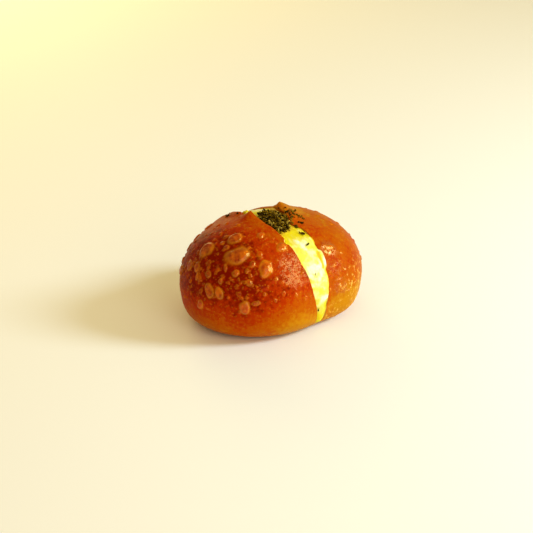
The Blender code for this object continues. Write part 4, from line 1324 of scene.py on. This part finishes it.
def flakes_object(name, places, normals, lengths, tones, draws, slim=1.0, ways=None):
    """One mesh of many flakes, with each flake's tone on its points."""
    points = flake_points(places, normals, lengths, draws, slim, ways)
    loops, counts = flake_faces(len(places))
    tone = np.repeat(tones, points.shape[1] * points.shape[2] * points.shape[3])
    return new_mesh_object(name, points, loops, counts, {"tone": tone})


def tilted(normals, draws, most):
    """Normals leant at random, by up to the tangent given."""
    return unit(normals + draws.normal(0.0, most, normals.shape))


def straight_up(count):
    """That many directions straight up."""
    return np.tile([0.0, 0.0, 1.0], (count, 1))


def heap_core():
    """The heap's core: rings over the top from the middle outwards, and back underneath."""
    reach = np.linspace(*CORE_REACH, CORE_RINGS)[:, None]
    turn = np.linspace(0.0, 2.0 * math.pi, CORE_COLUMNS, endpoint=False)[None, :]
    ragged = sum(size * np.sin(waves * turn + start) for waves, size, start in CORE_WAVES)
    place_x, place_y = heap_outline(reach * np.cos(turn), reach * np.sin(turn), ragged)
    under = heap_ground(place_x, place_y)
    raised = under + (CORE_DOME[0] + CORE_DOME[1] * (1.0 - reach ** 2))
    top = np.stack([place_x, place_y, raised], axis=-1)
    top[..., 2] += 0.3 * soft_noise(top, 1.3, 71)
    low = np.stack([place_x, place_y, under - 0.4], axis=-1)
    points = np.concatenate([top, low[::-1]])
    poles = [top[0].mean(axis=0), low[0].mean(axis=0)]
    tones = np.full(points.shape[:2], CORE_TONE)
    return ring_object("parsley_core", points, poles, {"tone": tones})


def heap_flakes(count, draws):
    """Flakes at random over the heap, higher in its middle and towards its back."""
    square = draws.uniform(-1.0, 1.0, (count, 2))
    place_x, place_y, reach = heap_place(square[:, 0], square[:, 1])
    height = heap_ground(place_x, place_y) + 0.2
    height += 0.7 * (1.0 - reach ** 2) + draws.uniform(-0.1, 0.5, count)
    height += HEAP_BACK_LIFT * smooth_step(-9.0, -1.0, place_y)
    places = np.stack([place_x, place_y, height], axis=-1)
    length_range, tone_range, power, lean = HEAP_FLAKES
    normals = tilted(straight_up(count), draws, lean)
    lengths = draws.uniform(*length_range, count)
    tones = draws.uniform(*tone_range, count) ** power
    return flakes_object("parsley_flakes", places, normals, lengths, tones, draws)


def heap_stems(draws):
    """The pale stems that lie on the heap."""
    spots, lengths, tones, ways = (np.array(values) for values in zip(*STEMS))
    places = np.column_stack([spots, heap_ground(spots[:, 0], spots[:, 1]) + 1.5])
    normals = tilted(straight_up(len(STEMS)), draws, 0.1)
    return flakes_object("parsley_stems", places, normals, lengths, tones, draws, 0.28, ways)


def crust_flakes(count, draws):
    """Flakes on the crust: those listed for both halves, and small ones at random on the right."""
    length_range, tone_range, power, lean = LOOSE_FLAKES
    spread, along_range = LOOSE_PLACES
    across = np.abs(draws.normal(0.0, spread, count)) + 0.5
    turns, rises = over_plan(RIGHT, across, draws.uniform(*along_range, count))
    small = np.column_stack([turns, rises, draws.uniform(*length_range, count)])
    right, left = np.concatenate([RIGHT_FLAKES, small]), np.array(LEFT_FLAKES)
    found = [crust_frames(side, flakes[:, 0], flakes[:, 1])
             for side, flakes in ((RIGHT, right), (LEFT, left))]
    places, _, _, normals = (np.concatenate(parts) for parts in zip(*found))
    lengths = np.concatenate([right[:, 2], left[:, 2]])
    tones = draws.uniform(*tone_range, len(lengths)) ** power
    return flakes_object("loose_flakes", places + 0.35 * normals, tilted(normals, draws, lean),
                         1.15 * lengths, tones, draws, 1.35)


def fringe_flakes(draws):
    """Small flakes on the egg before the heap."""
    length_range, tone_range, power, lean = FRINGE_FLAKES
    places = egg_point(*(draws.uniform(*part, FRINGE_COUNT) for part in FRINGE_PLACES))
    normals = egg_outward(places)
    tilts = tilted(normals, draws, lean)
    lengths = draws.uniform(*length_range, FRINGE_COUNT)
    tones = draws.uniform(*tone_range, FRINGE_COUNT) ** power
    return flakes_object("fringe_flakes", places + 0.45 * normals, tilts, lengths, tones, draws)


def egg_specks(draws):
    """The dark specks on the egg."""
    spots, lengths, ways = (np.array(values, dtype=float) for values in zip(*EGG_SPECKS))
    places = egg_point(spots[:, 0], spots[:, 1])
    normals = egg_outward(places)
    return flakes_object("egg_specks", places + 0.6 * normals, tilted(normals, draws, 0.1),
                         lengths, np.full(len(spots), 0.1), draws, 0.95, ways)


# ---- Operators ----
class BUN_OT_bread(bpy.types.Operator):
    """Builds the bread: glazed crust with blisters, lips and walls of the cut, flat base"""
    bl_idname = "bun.bread"
    bl_label = "Build Bread"

    def execute(self, context):
        settings = context.scene.bun_crust
        points, blister, rim, depth = bread_surface(settings)
        poles = [points[0].mean(axis=0), points[-1].mean(axis=0)]
        # The bake and pale layers carry painted light, sheen, glints and highlight as well as
        # crust tone
        layers = {"blister": blister, "rim": rim, "depth": depth, "bake": bake_and_light_share(points),
                  "glaze": glaze_share(points), "pale": pale_and_glint_share(points)}
        bread = ring_object("bread", points, poles, layers)
        hand_over(bread, crust_material(settings), "bread_crust", "bun")
        return {"FINISHED"}


class BUN_OT_egg(bpy.types.Operator):
    """Builds the egg salad that fills the cut"""
    bl_idname = "bun.egg"
    bl_label = "Build Egg Salad"

    def execute(self, context):
        settings = context.scene.bun_egg
        egg = ring_object("egg_salad", *egg_surface(settings))
        hand_over(egg, egg_material(settings), "egg_salad", "egg_filling")
        return {"FINISHED"}


class BUN_OT_parsley(bpy.types.Operator):
    """Builds the heap of dried parsley, the loose flakes and the specks on the egg"""
    bl_idname = "bun.parsley"
    bl_label = "Build Parsley"

    def execute(self, context):
        settings = context.scene.bun_parsley
        material = parsley_material(settings)
        draws = np.random.default_rng(PARSLEY_SEED)
        for piece, node in (
                (heap_core(), "parsley"),
                (heap_flakes(settings.flakes, draws), "parsley"),
                (heap_stems(draws), "parsley"),
                (crust_flakes(settings.loose, draws), "bun"),
                (fringe_flakes(draws), "egg_filling"),
                (egg_specks(draws), "egg_filling")):
            hand_over(piece, material, "dried_parsley", node)
        return {"FINISHED"}


def place_camera(scene):
    """Adds the camera, and returns the level directions to its right and ahead of it."""
    turn = math.radians(-CAMERA_AZIMUTH)
    tip = math.radians(CAMERA_ELEVATION)
    right = Vector((math.cos(turn), -math.sin(turn), 0.0))
    ahead = Vector((math.sin(turn), math.cos(turn), 0.0))
    sight = ahead * math.cos(tip) - Vector((0.0, 0.0, math.sin(tip)))
    above = ahead * math.sin(tip) + Vector((0.0, 0.0, math.cos(tip)))
    cut_middle = Vector((-PLAN_MIDDLE[0], -PLAN_MIDDLE[1], 0.0))
    eye = cut_middle - sight * CAMERA_DISTANCE
    aim = cut_middle + right * CAMERA_AIM[0] + above * CAMERA_AIM[1]
    lens = bpy.data.cameras.new("camera")
    lens.sensor_width = SENSOR_WIDTH
    lens.lens = FOCAL_PIXELS / PHOTO_PIXELS * SENSOR_WIDTH
    lens.clip_start = 0.01
    camera = bpy.data.objects.new("camera", lens)
    camera.location = eye * MM
    camera.rotation_euler = (aim - eye).to_track_quat("-Z", "Y").to_euler()
    scene.collection.objects.link(camera)
    scene.camera = camera
    return right, ahead


def lay_floor(scene, tint):
    """A plain square floor of one colour."""
    half = FLOOR_HALF_WIDTH
    corners = [(-half, -half, 0.0), (half, -half, 0.0), (half, half, 0.0), (-half, half, 0.0)]
    plane = bpy.data.meshes.new("floor")
    plane.from_pydata(corners, [], [(0, 1, 2, 3)])
    floor = bpy.data.objects.new("floor", plane)
    scene.collection.objects.link(floor)
    shades = {"Roughness": 0.6, "Base Color": (*tint, 1.0)}
    plane.materials.append(food_material("floor", shades)[0])


def soft_light(name, place, size, power, tint):
    """A round area light at a place in metres, turned to the bun."""
    light = bpy.data.lights.new(name, "AREA")
    light.shape = "DISK"
    light.size = size
    light.energy = power
    light.color = tint
    lamp = bpy.data.objects.new(name, light)
    lamp.location = place
    lamp.rotation_euler = (Vector(LIGHT_AIM) - place).to_track_quat("-Z", "Y").to_euler()
    bpy.context.scene.collection.objects.link(lamp)
    return lamp


class BUN_OT_stage(bpy.types.Operator):
    """Sets the camera, a plain pale floor and soft lights"""
    bl_idname = "bun.stage"
    bl_label = "Set Stage"

    def execute(self, context):
        scene = context.scene
        settings = scene.bun_stage
        right, ahead = place_camera(scene)
        lay_floor(scene, settings.floor)
        for name, (sideways, onward, height), size, power, tint, passed_by in LIGHTS:
            place = right * sideways + ahead * onward + Vector((0.0, 0.0, height))
            lamp = soft_light(name, place, size, getattr(settings, power), tint)
            if passed_by:
                setattr(lamp, passed_by, False)
        world = bpy.data.worlds.new("surroundings")
        world.use_nodes = True
        sky = world.node_tree.nodes["Background"]
        sky.inputs["Color"].default_value = SKY_COLOUR
        sky.inputs["Strength"].default_value = settings.fill
        scene.world = world
        scene.view_settings.view_transform = "Standard"
        return {"FINISHED"}


class BUN_PT_panel(bpy.types.Panel):
    """Lists the bun's operators and settings"""
    bl_label = "Egg Salad Bun"
    bl_idname = "BUN_PT_panel"
    bl_space_type = "VIEW_3D"
    bl_region_type = "UI"
    bl_category = "Bun"

    def draw(self, context):
        layout = self.layout
        for group, operator in (("bun_crust", "bun.bread"), ("bun_egg", "bun.egg"),
                                ("bun_parsley", "bun.parsley"), ("bun_stage", "bun.stage")):
            box = layout.box()
            settings = getattr(context.scene, group)
            for key in settings.bl_rna.properties.keys():
                if key not in ("rna_type", "name"):
                    box.prop(settings, key)
            box.operator(operator)


SETTINGS = {
    "bun_crust": CrustSettings,
    "bun_egg": EggSettings,
    "bun_parsley": ParsleySettings,
    "bun_stage": StageSettings,
}
CLASSES = (
    *SETTINGS.values(), BUN_OT_bread, BUN_OT_egg, BUN_OT_parsley, BUN_OT_stage, BUN_PT_panel,
)


def register():
    for cls in CLASSES:
        bpy.utils.register_class(cls)
    for name, cls in SETTINGS.items():
        setattr(bpy.types.Scene, name, PointerProperty(type=cls))


def unregister():
    for name in SETTINGS:
        delattr(bpy.types.Scene, name)
    for cls in reversed(CLASSES):
        bpy.utils.unregister_class(cls)


def main():
    register()
    bpy.ops.bun.stage()
    bpy.ops.bun.bread()
    bpy.ops.bun.egg()
    bpy.ops.bun.parsley()


if __name__ == "__main__":
    main()
